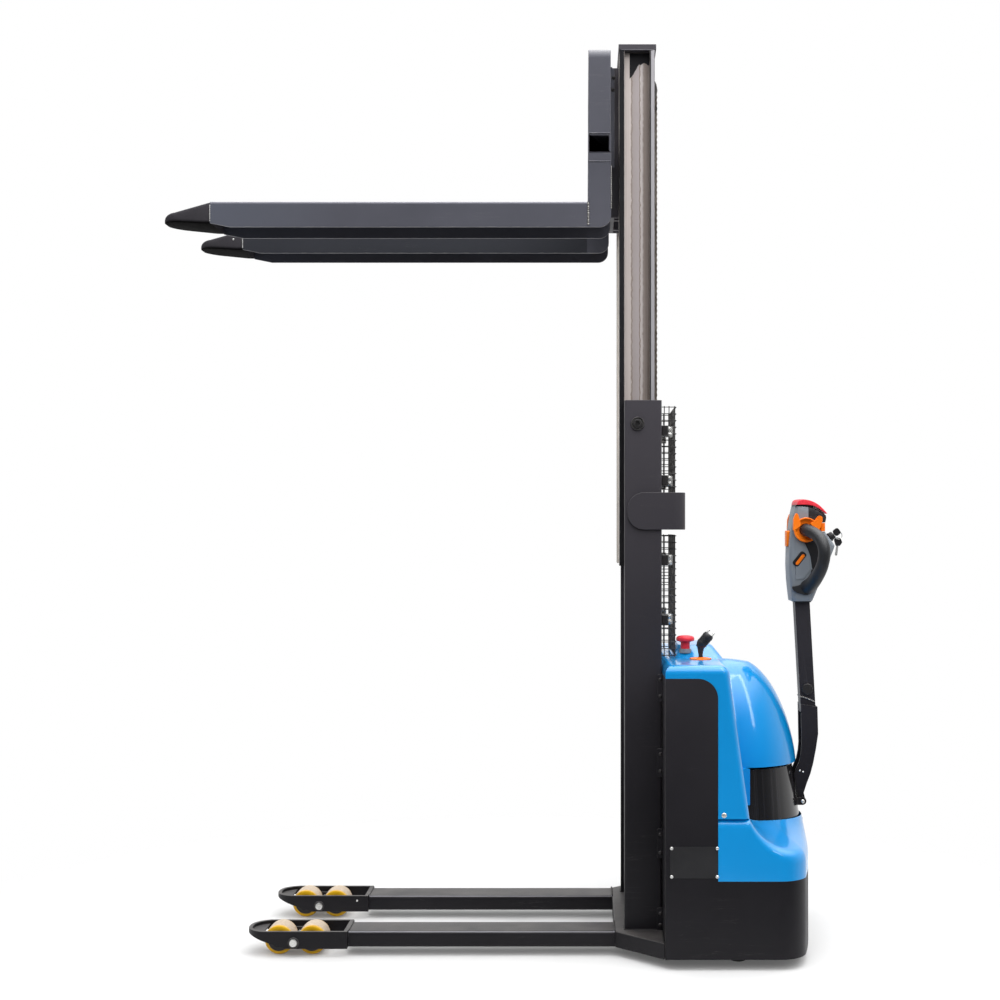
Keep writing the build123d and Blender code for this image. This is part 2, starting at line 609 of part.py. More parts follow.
def carriage_frame():
    """Cross plate, two roller side plates with stub axles, and the chain lugs."""
    back = HEEL_BACK + CARRIAGE_PLATE
    z0, z1 = CARRIAGE_FOOT, CARRIAGE_TOP
    frame = block(HEEL_BACK, back, -PLATE_Y, PLATE_Y, z0, z1)
    frame -= block(HEEL_BACK - PAST, back + PAST, -CARRIAGE_WINDOW, CARRIAGE_WINDOW, BEAM_TOP + 20, z1 - 35)
    for y in (-PLATE_Y, PLATE_Y - CARRIAGE_PLATE):
        frame += block(HEEL_BACK, HEEL_BACK + CARRIAGE_REACH, y, y + CARRIAGE_PLATE, z0, z1)
    stub_end = CARRIAGE_ROLLER_Y + ROLLER_WIDTH + PAST
    for side in (-1, 1):
        y0, y1 = sorted((side * (PLATE_Y - CARRIAGE_PLATE), side * stub_end))
        for z in (CARRIAGE_ROLLER_Z, CARRIAGE_ROLLER_Z + ROLLER_SPACING):
            frame += rod_y(MAST_X, y0, y1, z, STUB_R)
        y = side * CHAIN_Y
        frame += block(HEEL_BACK, CHAIN_FRONT_X + CHAIN_THICK / 2, y - CHAIN_LUG_HALF, y + CHAIN_LUG_HALF,
                       z0, CHAIN_ANCHOR_HIGH)
    return frame


# Base, legs and load wheels

def base_frame():
    """The crossmember under the mast, flaring from the legs to the body."""
    front = LEG_Y + LEG_WIDTH / 2
    outline = [(BASE_X, -front), (BASE_BACK, -BASE_REAR_HALF), (BASE_BACK, BASE_REAR_HALF), (BASE_X, front)]
    return plan_plate(outline, BASE_BOTTOM, BASE_TOP)


def straddle_leg():
    """A rectangular tube ending in a bow-shaped nose that holds the bogie."""
    y0, y1 = LEG_Y - LEG_WIDTH / 2, LEG_Y + LEG_WIDTH / 2
    tube = block(LEG_FRONT, BASE_X, y0, y1, BASE_BOTTOM, BASE_TOP)
    tube = fillet(tube.edges().filter_by(Axis.X), LEG_CORNER)
    tube -= block(LEG_FRONT - 1, BASE_X + 1, y0 + LEG_WALL, y1 - LEG_WALL,
                  BASE_BOTTOM + LEG_WALL, BASE_TOP - LEG_WALL)
    n0, n1 = NOSE_Y - NOSE_WIDTH / 2, NOSE_Y + NOSE_WIDTH / 2
    nose = block(NOSE_FRONT, LEG_FRONT, n0, n1, BASE_BOTTOM, NOSE_TOP)
    nose = fillet(upright_edges(nose).filter_by_position(Axis.X, NOSE_FRONT - 1, NOSE_FRONT + 1), NOSE_CORNER)
    well = block(NOSE_FRONT + NOSE_WALL, LEG_FRONT - NOSE_WALL, n0 + NOSE_WALL, n1 - NOSE_WALL,
                 BASE_BOTTOM - 1, NOSE_TOP + 1)
    bow = upright_edges(well).filter_by_position(Axis.X, NOSE_FRONT, NOSE_FRONT + NOSE_WALL + 1)
    nose -= fillet(bow, NOSE_CORNER - NOSE_WALL)
    chin = [
        (NOSE_FRONT - PAST, BASE_BOTTOM - PAST),
        (NOSE_FRONT - PAST, BASE_BOTTOM + NOSE_CHIN),
        (NOSE_FRONT + NOSE_CHIN_LENGTH, BASE_BOTTOM - PAST),
    ]
    nose -= side_plate(chin, n0 - 1, n1 + 1)
    nose -= rod_y(BOGIE_X, n0 - 1, n1 + 1, LOAD_WHEEL_R, BOGIE_PIN_R)
    return tube + nose


def bogie_pins():
    """Short pivot bolts through the nose walls, four in all."""
    n0, n1 = NOSE_Y - NOSE_WIDTH / 2, NOSE_Y + NOSE_WIDTH / 2
    reach = (NOSE_WIDTH - LOAD_WHEEL_WIDTH) / 2 - BOGIE_SIDE - 1
    pins = []
    spans = (n0, n0 + reach, n0 - BOGIE_HEAD, n0), (n1 - reach, n1, n1, n1 + BOGIE_HEAD)
    for y0, y1, head0, head1 in spans:
        pin = rod_y(BOGIE_X, y0, y1, LOAD_WHEEL_R, BOGIE_PIN_R)
        pin += rod_y(BOGIE_X, head0, head1, LOAD_WHEEL_R, BOGIE_PIN_R + BOGIE_HEAD)
        pins += both_sides(pin)
    return group(pins)


def wheel_places():
    """The two load wheel axles of a bogie along X."""
    return (BOGIE_X - LOAD_WHEEL_PITCH / 2, BOGIE_X + LOAD_WHEEL_PITCH / 2)


def bogie(side):
    """Two rocker plates joined by the two wheel axles."""
    half = LOAD_WHEEL_WIDTH / 2 + BOGIE_SIDE
    mid = side * NOSE_Y
    plate_x = LOAD_WHEEL_PITCH / 2 + 18
    plates = []
    for y in (mid - half - BOGIE_PLATE, mid + half):
        plate = block(BOGIE_X - plate_x, BOGIE_X + plate_x, y, y + BOGIE_PLATE,
                      LOAD_WHEEL_R - 17, LOAD_WHEEL_R + 17)
        plate = fillet(cross_edges(plate), 16)
        plate -= rod_y(BOGIE_X, y - 1, y + BOGIE_PLATE + 1, LOAD_WHEEL_R, BOGIE_PIN_R + RUN_GAP)
        plates.append(plate)
    shape = plates[0] + plates[1]
    for x in wheel_places():
        shape += rod_y(x, mid - half - 1, mid + half + 1, LOAD_WHEEL_R, AXLE_R)
    return shape


def load_wheel(side, x):
    """A polyurethane load roller on its hub."""
    y0, y1 = side * NOSE_Y - LOAD_WHEEL_WIDTH / 2, side * NOSE_Y + LOAD_WHEEL_WIDTH / 2
    wheel = rod_y(x, y0, y1, LOAD_WHEEL_R, LOAD_WHEEL_R)
    wheel = fillet(wheel.edges().filter_by(GeomType.CIRCLE), 5)
    recess = 4.0
    for a, b in ((y0 - 1, y0 + recess), (y1 - recess, y1 + 1)):
        wheel -= rod_y(x, a, b, LOAD_WHEEL_R, LOAD_HUB_R)
    wheel -= rod_y(x, y0 - 1, y1 + 1, LOAD_WHEEL_R, AXLE_R + RUN_GAP)
    return wheel


# Body

def body_plan(inset, z0, z1, x0):
    """A prism on the body's plan: straight sides, a bowed back and round back corners."""
    half = BODY_HALF - inset
    corner_x = BODY_BACK - BODY_BOW - inset
    sides = Polyline((corner_x, half, z0), (x0, half, z0), (x0, -half, z0), (corner_x, -half, z0))
    back = ThreePointArc((corner_x, -half, z0), (BODY_BACK - inset, 0, z0), (corner_x, half, z0))
    prism = extrude(make_face([sides, back]), amount=z1 - z0, dir=(0, 0, 1))
    corners = upright_edges(prism).filter_by_position(Axis.X, corner_x - 1, corner_x + 1)
    return fillet(corners, BODY_CORNER - inset)


def chassis_shell():
    """The welded body shell: skirt, front wall, side panels and floor plate."""
    shell = body_plan(0, SKIRT_BOTTOM, SKIRT_TOP, BODY_X)
    inside = BODY_X + BODY_WALL
    shell -= body_plan(BODY_WALL, SKIRT_BOTTOM - 1, SKIRT_TOP + 1, inside)
    shell += block(BODY_X, inside, -BODY_HALF, BODY_HALF, SKIRT_BOTTOM, PANEL_TOP)
    for y in (-BODY_HALF, BODY_HALF - BODY_WALL):
        panel = block(BODY_X, BODY_X + PANEL_LENGTH, y, y + BODY_WALL, SKIRT_TOP, PANEL_TOP)
        corner = cross_edges(panel).sort_by(Axis.Z)[-2:].sort_by(Axis.X)[-1]
        shell += fillet(corner, PANEL_CORNER)
    floor = body_plan(BODY_WALL, FLOOR_Z, FLOOR_TOP, inside)
    floor -= rod_z(STEER_X, 0, FLOOR_Z, FLOOR_TOP, DRIVE_HOLE_R)
    floor -= block(inside, STEER_X, -FLOOR_SLOT, FLOOR_SLOT, FLOOR_Z, FLOOR_TOP)
    for side in (-1, 1):
        floor -= rod_z(CASTER_X, side * CASTER_Y, FLOOR_Z, FLOOR_TOP, CASTER_STEM_R + RUN_GAP)
    shell += floor
    shell -= rod_x(BODY_X - 1, inside + 1, 0, HOSE_Z, HOSE_R + 1)
    return shell


def dome(inset):
    """The round hood over the steering column and the ridge that joins it to the lid, inset by a wall."""
    r0, r1, r2, r3 = (r - inset for r in (DOME_R, DOME_MID_R, DOME_SHOULDER_R, DOME_CROWN_R))
    drop = inset
    lower = ThreePointArc((STEER_X + r0, 0, DOME_FOOT), (STEER_X + r1, 0, DOME_MID_Z),
                          (STEER_X + r2, 0, DOME_SHOULDER_Z - drop))
    crown = ThreePointArc((STEER_X + r2, 0, DOME_SHOULDER_Z - drop), (STEER_X + r3, 0, DOME_CROWN_Z - drop),
                          (STEER_X, 0, DOME_TOP - drop))
    base = Polyline((STEER_X, 0, DOME_TOP - drop), (STEER_X, 0, DOME_FOOT), (STEER_X + r0, 0, DOME_FOOT))
    section = make_face([lower, crown, base])
    steer_axis = Axis((STEER_X, 0, 0), (0, 0, 1))
    hood = revolve(section, axis=steer_axis)
    ridge = STEER_X - BODY_X - HOOD_TOP_LENGTH + DECK_ROUND
    for turn in (-90, 90):
        hood += extrude(section.rotate(steer_axis, turn), amount=ridge, dir=(-1, 0, 0))
    return hood


def upper_hood():
    """The blue lid: a box over the front, a slanted back, a dome and a raised console."""
    top_x, foot_x = BODY_X + HOOD_TOP_LENGTH, BODY_X + HOOD_FOOT_LENGTH
    lap_z, lap_x = PANEL_TOP + PANEL_GAP, BODY_X + PANEL_LENGTH + PANEL_GAP
    foot_z = SEAM + PANEL_GAP / 2
    outline = [(BODY_X, lap_z), (BODY_X, DECK), (top_x, DECK), (foot_x, foot_z),
               (lap_x, foot_z), (lap_x, lap_z)]
    box = side_plate(outline, -BODY_HALF, BODY_HALF)
    lap = cross_edges(box).filter_by_position(Axis.X, lap_x - 1, lap_x + 1).sort_by(Axis.Z)[-1]
    box = fillet(lap, PANEL_CORNER + PANEL_GAP)
    rims = box.edges().filter_by(Axis.X).group_by(Axis.Z)[-1]
    box = fillet(rims, DECK_ROUND)
    half = BODY_HALF - HOOD_WALL
    slant = HOOD_WALL * sqrt(1 + ((foot_x - top_x) / (DECK - foot_z)) ** 2)
    lean = (foot_x - top_x) / (DECK - foot_z) * HOOD_WALL
    hollow = side_plate([
        (BODY_X + HOOD_WALL, foot_z - 20), (BODY_X + HOOD_WALL, DECK - HOOD_WALL),
        (top_x - slant + lean, DECK - HOOD_WALL), (foot_x - slant, foot_z), (foot_x - slant, foot_z - 20)],
        -half, half)
    hood = box + dome(0) - hollow - dome(HOOD_WALL)
    hood -= rod_z(STEER_X, 0, foot_z - 20, DOME_FOOT, RIM_R)
    hood += console()
    hood -= rod_z(CHARGER_X, CHARGER_Y, DECK - 2 * HOOD_WALL, DECK + 1, GROMMET_R - 8)
    return hood


def console():
    """The raised panel in the middle of the deck, with the seat of the stop button."""
    top = DECK + CONSOLE_RISE
    front, back = BODY_X + CONSOLE_SETBACK, BODY_X + CONSOLE_SETBACK + CONSOLE_LENGTH
    side_view = side_plate([(front, DECK), (front, top), (back, top), (back + CONSOLE_RISE, DECK)],
                           -CONSOLE_HALF, CONSOLE_HALF)
    bank = 60.0
    outline = Polyline((front, -CONSOLE_HALF, DECK), (front, -CONSOLE_HALF + bank, top),
                       (front, CONSOLE_HALF - bank, top), (front, CONSOLE_HALF, DECK), close=True)
    panel = side_view & extrude(make_face(outline), amount=back + CONSOLE_RISE - front, dir=(1, 0, 0))
    seat = rod_z(ESTOP_X, ESTOP_Y, DECK, ESTOP_Z, ESTOP_NECK_R + 6)
    bore = rod_z(ESTOP_X, ESTOP_Y, ESTOP_Z - ESTOP_TRAVEL - 3, top + 1, ESTOP_NECK_R + RUN_GAP)
    return panel + seat - bore


def lower_hood():
    """The blue lower cover: boxy sides that sweep up to the round rim of the collar."""
    foot_x = BODY_X + HOOD_FOOT_LENGTH
    x0 = BODY_X + PANEL_LENGTH + PANEL_GAP
    z0, z1 = SKIRT_TOP + PANEL_GAP, SEAM - PANEL_GAP / 2
    sweep_x, sweep_z = BODY_X + SWEEP_LENGTH, SWEEP_Z
    swing_r = sqrt((PIVOT_X - STEER_X + LUG_R) ** 2 + PIVOT_PIN_END ** 2) + SWING_GAP
    swing_z = PIVOT_Z - LUG_R - SWING_GAP

    def cover(inset):
        body = body_plan(inset, z0 - inset, z1 - inset, x0 - inset)
        far = BODY_BACK + 10
        above = [(foot_x - inset, z1 + 10), (foot_x - inset, z1 - inset), (sweep_x - inset, sweep_z - inset),
                 (far, SWEEP_BACK_Z - inset), (far, z1 + 10)]
        body -= side_plate(above, -BODY_HALF - 1, BODY_HALF + 1)
        body -= rod_z(STEER_X, 0, swing_z - inset, z1 + 10, swing_r + inset)
        spread = RIM_R + HOOD_WALL + (RIM_TOP - SWEEP_BACK_Z) * 1.2
        cone = turned([(0, SWEEP_BACK_Z - inset), (spread - inset, SWEEP_BACK_Z - inset),
                       (RIM_R + HOOD_WALL - inset, RIM_TOP - inset), (0, RIM_TOP - inset)], STEER_X)
        return body + (cone & body_plan(inset, z0, z1, x0 - inset))

    hood = cover(0) - cover(HOOD_WALL)
    return hood - rod_z(STEER_X, 0, z0 - 1, z1 + 1, RIM_R)


def hood_screws():
    """Dome-head screws that hold the upper hood, one on each side."""
    x = BODY_X + PANEL_LENGTH + 16
    screw = rod_y(x, BODY_HALF, BODY_HALF + 3, SEAM + 10, 7)
    screw = fillet(screw.faces().sort_by(Axis.Y)[-1].edges(), 2.5)
    return group(both_sides(screw))


def charger_grommet():
    """The round orange lid round the charger lead."""
    grommet = rod_z(CHARGER_X, CHARGER_Y, DECK, DECK + 4, GROMMET_R)
    return fillet(grommet.faces().sort_by(Axis.Z)[-1].edges(), 2)


def charger_plug():
    """An angled two-pin plug standing on its strain relief."""
    seat = DECK + 4
    knee = seat + 40
    plug = Pos(CHARGER_X, CHARGER_Y, (seat + knee) / 2) * Cone(6, 11, knee - seat)
    tilt = Plane(origin=(CHARGER_X - 2, CHARGER_Y, knee - 8), x_dir=(cos(radians(40)), 0, -sin(radians(40))),
                 z_dir=(sin(radians(40)), 0, cos(radians(40))))
    plug += tilt * Pos(0, 0, 19) * Cylinder(15, 38)
    for y in (-9.5, 9.5):
        plug += tilt * Pos(0, y, 38 + 9) * Cylinder(2.4, 18)
    return plug


def battery_pack():
    """The traction battery on the floor plate."""
    x0 = BODY_X + BODY_WALL + 7
    return block(x0, x0 + 120, -BODY_HALF + BODY_WALL + 9, -120, FLOOR_TOP, FLOOR_TOP + 167)


def pump_unit():
    """Oil tank with the pump motor on top, on the floor plate."""
    x0 = BODY_X + BODY_WALL + 7
    y0, y1 = PUMP_Y, BODY_HALF - BODY_WALL - 19
    unit = block(x0, x0 + 120, y0, y1, FLOOR_TOP, FLOOR_TOP + 102)
    unit += rod_z(x0 + 60, (y0 + y1) / 2, FLOOR_TOP + 102, FLOOR_TOP + 170, 50)
    return unit


def motor_controller():
    """The control box on the front wall."""
    x0 = BODY_X + BODY_WALL
    return block(x0, x0 + 42, -100, 100, 500, 620)


def hydraulic_hose():
    """The pressure hose from the pump, through the front wall, to the cylinder foot."""
    start = MAST_X + CYLINDER_R
    rise_x = BODY_X + 46
    top = FLOOR_TOP + 60
    path = FilletPolyline((start, 0, HOSE_Z), (rise_x, 0, HOSE_Z), (rise_x, 0, top), (rise_x, PUMP_Y, top),
                          radius=32)
    section = Plane(origin=(start, 0, HOSE_Z), z_dir=(1, 0, 0)) * Circle(HOSE_R)
    hose = sweep(section, path=path)
    return hose - rod_z(MAST_X, 0, BASE_TOP, HOSE_Z + 40, CYLINDER_R)


# Steering and drive

def steering_collar():
    """The cone round the steering column, with the tiller lugs and their pivot pin."""
    wall = COLLAR_WALL
    disc = COLLAR_FOOT + 10
    shell = turned([(COLLAR_FOOT_R - wall, COLLAR_FOOT), (COLLAR_FOOT_R, COLLAR_FOOT),
                    (COLLAR_TOP_R, COLLAR_TOP), (COLLAR_TOP_R - wall, COLLAR_TOP)], STEER_X)
    shell += turned([(MOTOR_R + RUN_GAP, disc), (COLLAR_FOOT_R - 3, disc), (COLLAR_FOOT_R - 4, disc + 6),
                     (MOTOR_R + RUN_GAP, disc + 6)], STEER_X)
    foot, top = PIVOT_Z - LUG_R, PIVOT_Z + LUG_R
    inner = ARM_HALF + SIDE_GAP
    outer = inner + LUG_PLATE
    core = turned([(0, COLLAR_FOOT), (COLLAR_FOOT_R - wall, COLLAR_FOOT), (COLLAR_TOP_R - wall, COLLAR_TOP),
                   (0, COLLAR_TOP)], STEER_X)
    for side in (-1, 1):
        y0, y1 = sorted((side * inner, side * outer))
        lug = block(PIVOT_X - 60, PIVOT_X, y0, y1, foot, top)
        lug += rod_y(PIVOT_X, y0, y1, PIVOT_Z, LUG_R)
        shell += lug - core
    return shell + rod_y(PIVOT_X, -PIVOT_PIN_END, PIVOT_PIN_END, PIVOT_Z, PIVOT_PIN_R)


def drive_unit():
    """Traction motor over a gear case, carried on a slewing ring above the floor plate."""
    ring0, ring1 = FLOOR_TOP + RUN_GAP, FLOOR_TOP + 14
    ring_in = DRIVE_FLANGE_R - DRIVE_RING
    deck0 = 2 * DRIVE_R + 6
    deck1 = deck0 + 12
    unit = rod_z(STEER_X, 0, ring0, ring1, DRIVE_FLANGE_R) - rod_z(STEER_X, 0, ring0, ring1, ring_in)
    unit += rod_z(STEER_X, 0, deck0, deck1, DRIVE_FLANGE_R)
    for y0, y1 in ((-DRIVE_FLANGE_R + 7, -ring_in), (ring_in - 30, DRIVE_FLANGE_R - 7)):
        unit += block(STEER_X - 28, STEER_X + 28, y0, y1, ring0, deck0)
    case0 = DRIVE_WIDTH / 2 + 6
    unit += block(STEER_X - 58, STEER_X + 58, case0, ring_in - 26, DRIVE_R - 58, deck0)
    unit += rod_y(STEER_X, -DRIVE_WIDTH / 2, case0, DRIVE_R, DRIVE_AXLE_R)
    unit += rod_z(STEER_X, 0, deck1, MOTOR_TOP, MOTOR_R)
    unit += rod_z(STEER_X, 0, COLLAR_FOOT - 2, COLLAR_FOOT + 10, MOTOR_R + 25)
    return unit


def drive_wheel():
    """The driven and steered wheel on the gear case axle."""
    half = DRIVE_WIDTH / 2
    wheel = rod_y(STEER_X, -half, half, DRIVE_R, DRIVE_R)
    wheel = fillet(wheel.edges().filter_by(GeomType.CIRCLE), 6)
    return wheel - rod_y(STEER_X, -half - 1, half + 1, DRIVE_R, DRIVE_AXLE_R + RUN_GAP)


def caster_yoke(side):
    """A swivel yoke whose stem turns in the floor plate."""
    y = side * CASTER_Y
    top = FLOOR_Z - RUN_GAP
    yoke = rod_z(CASTER_X, y, top - 10, top, 30)
    yoke += rod_z(CASTER_X, y, top, FLOOR_TOP + 6, CASTER_STEM_R)
    axle_x = CASTER_X - CASTER_TRAIL
    leg_in = CASTER_WIDTH / 2 + SIDE_GAP
    for y0, y1 in ((y - leg_in - 5, y - leg_in), (y + leg_in, y + leg_in + 5)):
        outline = [(CASTER_X + 25, top - 10), (CASTER_X - 28, top - 10), (axle_x - 14, CASTER_R - 12),
                   (axle_x + 14, CASTER_R - 12)]
        yoke += side_plate(outline, y0, y1)
        yoke += block(CASTER_X - 28, CASTER_X + 25, min(y0, y), max(y1, y), top - 10, top - 4)
    return yoke + rod_y(axle_x, y - leg_in - 1, y + leg_in + 1, CASTER_R, 8)


def caster_wheel(side):
    """The small wheel of a swivel caster."""
    x, half = CASTER_X - CASTER_TRAIL, CASTER_WIDTH / 2
    y = side * CASTER_Y
    wheel = rod_y(x, y - half, y + half, CASTER_R, CASTER_R)
    wheel = fillet(wheel.edges().filter_by(GeomType.CIRCLE), 5)
    return wheel - rod_y(x, y - half - 1, y + half + 1, CASTER_R, 8 + RUN_GAP)


# Tiller

def tiller_arm():
    """A bent channel on the pivot, carrying a straight tube up to the head."""
    front = [(808, 386), (806, 395), (801, 420), (796, 456), (801, 472), (810, 492), (815, 516), (817, 540),
             (815, 655)]
    back = [(862, 648), (864, 571), (858, 530), (850, 488), (842, 458), (831, 429), (823, 404), (827, 387)]
    plate = side_plate(front + back, ARM_HALF - ARM_PLATE, ARM_HALF)
    plate += rod_y(PIVOT_X, ARM_HALF - ARM_PLATE, ARM_HALF, PIVOT_Z, ARM_END_R)
    plate -= rod_y(PIVOT_X, ARM_HALF - ARM_PLATE - 1, ARM_HALF + 1, PIVOT_Z, PIVOT_PIN_R + RUN_GAP)
    spine = back[:5]
    web = side_plate(spine + [(x - ARM_PLATE, z) for x, z in reversed(spine)], -ARM_HALF + 1, ARM_HALF - 1)
    left, right = both_sides(plate)
    arm = left + right + web
    (foot_x, foot_z), (top_x, top_z) = TUBE_FOOT, TUBE_TOP
    low_z = foot_z - 30
    low_x = foot_x - 30 * ARM_LEAN
    reach, depth = TUBE_WIDTH / 2, TUBE_DEPTH / 2
    arm += block(foot_x - reach, foot_x + reach, -ARM_HALF + 1, ARM_HALF - 1, low_z, low_z + ARM_PLATE)
    tube = side_plate([(low_x - reach, low_z), (low_x + reach, low_z), (top_x + reach, top_z),
                       (top_x - reach, top_z)], -depth, depth)
    wall = reach - TUBE_WALL
    tube -= side_plate([(low_x - wall, low_z - 1), (low_x + wall, low_z - 1), (top_x + wall, top_z + 1),
                        (top_x - wall, top_z + 1)], -depth + TUBE_WALL, depth - TUBE_WALL)
    boss_z = foot_z + 35
    boss_x = foot_x + 35 * ARM_LEAN
    for y0, y1 in ((-depth - 3, -depth), (depth, depth + 3)):
        tube += rod_y(boss_x, y0, y1, boss_z, 16)
    return arm + tube


def tiller_head():
    """The moulded head, with seats for the buttons, the reversing pad and the key switch."""
    outline = [(783, 953), (776, 1089), (779, 1130), (794, HEAD_TOP + 6), (845, HEAD_TOP),
               (890, HEAD_TOP - 22), (885, 1147), (916, 1105), (853, 951)]
    head = side_plate(outline, -HEAD_HALF, HEAD_HALF)
    head = fillet(cross_edges(head), 5)
    head -= front_button_body(RUN_GAP, BUTTON_TRAVEL + 1)
    head -= rear_button_body(RUN_GAP, BUTTON_TRAVEL + 1)
    for side in (-1, 1):
        head -= side_button_body(side, RUN_GAP, BUTTON_TRAVEL + 1)
    head -= rod_z(PAD_X, 0, HEAD_TOP - 30, HEAD_TOP + 10, PAD_STEM_R + RUN_GAP)
    barrel = KEY_PLANE * Pos(0, 0, 3) * Cylinder(10, 14)
    barrel -= KEY_PLANE * Pos(0, 0, 8) * Cylinder(3 + RUN_GAP, 16)
    return head + barrel


def front_button_body(gap, depth):
    """The strip button on the front edge; a gap and a depth turn it into its seat."""
    return block(773, 783 + depth, -20 - gap, 20 + gap, 1102 - gap, 1148 + gap)


def rear_button_body(gap, depth):
    """The small button on the back edge above the key switch."""
    return block(879 - depth, 892, -12 - gap, 12 + gap, 1146 - gap, 1170 + gap)


def side_button_body(side, gap, depth):
    """The slanted button on a side of the head."""
    y0, y1 = sorted((side * (HEAD_HALF - 6 - depth), side * (HEAD_HALF + 2)))
    button = Pos(SIDE_BUTTON_X, (y0 + y1) / 2, SIDE_BUTTON_Z) * Rot(0, 38, 0)
    return button * Box(10 + 2 * gap, y1 - y0, 36 + 2 * gap)


def reverse_button():
    """The curved red pad on top of the head, on a guide stem."""
    foot = HEAD_TOP + PAD_TRAVEL + 1
    outline = [(797, foot + 8), (820, foot + 7), (845, foot + 2), (893, foot - 20), (893, foot - 15),
               (872, foot + 4), (845, foot + PAD_THICK), (815, foot + PAD_THICK + 4),
               (803, foot + PAD_THICK + 2)]
    pad = side_plate(outline, -HEAD_HALF, HEAD_HALF)
    return pad + rod_z(PAD_X, 0, HEAD_TOP - 18, foot + 5, PAD_STEM_R)


def hand_grip(side):
    """A rubber loop from the root of the thumb lever out, back and down to the foot of the head."""
    root_y = HEAD_HALF - 1
    route = [(GRIP_X, root_y, GRIP_Z), (GRIP_X, root_y + 52, GRIP_Z), (GRIP_X + 42, root_y + 96, GRIP_Z - 36),
             (GRIP_X + 40, root_y + 98, GRIP_Z - 98), (GRIP_X + 4, root_y + 62, GRIP_Z - 160),
             (GRIP_X - 16, root_y, GRIP_Z - 166)]
    path = FilletPolyline(*[(x, side * y, z) for x, y, z in route], radius=GRIP_BENDS)
    section = Plane(origin=(GRIP_X, side * root_y, GRIP_Z), z_dir=(0, side, 0)) * Circle(GRIP_R)
    return sweep(section, path=path) - block(700, 1000, -HEAD_HALF, HEAD_HALF, 900, 1300)


def thumb_lever(side):
    """An orange butterfly ring with two thumb horns, turning round the grip root."""
    y0, y1 = sorted((side * (HEAD_HALF + 1), side * (HEAD_HALF + 1 + LEVER_WIDTH)))
    lever = rod_y(GRIP_X, y0, y1, GRIP_Z, LEVER_R)
    lever -= block(GRIP_X - LEVER_R - 1, GRIP_X + LEVER_R + 1, y0, y1, GRIP_Z + 18, GRIP_Z + LEVER_R + 1)
    horns = [(-34, 6), (-34, 40), (-26, 48), (-16, 16)], [(16, 16), (36, 40), (46, 36), (40, 14), (30, 4)]
    for outline in horns:
        lever += side_plate([(GRIP_X + x, GRIP_Z + z) for x, z in outline], y0, y1)
    return lever - rod_y(GRIP_X, y0, y1, GRIP_Z, GRIP_R + 2 * RUN_GAP)


def estop_button():
    """The red mushroom stop button."""
    cap0 = ESTOP_TOP - 20
    cap = rod_z(ESTOP_X, ESTOP_Y, cap0, ESTOP_TOP, ESTOP_R)
    cap = fillet(cap.edges().filter_by(GeomType.CIRCLE), 6)
    return cap + rod_z(ESTOP_X, ESTOP_Y, ESTOP_Z - 2, cap0 + 5, ESTOP_NECK_R)


def ignition_key():
    """The key in its switch, with a second key hanging from its bow."""
    key = KEY_PLANE * Pos(0, 0, 9) * Cylinder(3, 12)
    key += KEY_PLANE * Pos(0, 0, 23) * Box(4, 20, 20)
    x = PART_BACK
    hanging = [(x - 12, KEY_Z + 10), (x - 19, KEY_Z - 2), (x - 16, KEY_Z - 24), (x - 13, KEY_Z - 52),
               (x - 9, KEY_Z - 52), (x - 9, KEY_Z - 26), (x, KEY_Z - 18)]
    return key + side_plate(hanging, -2, 2)


# Assembly

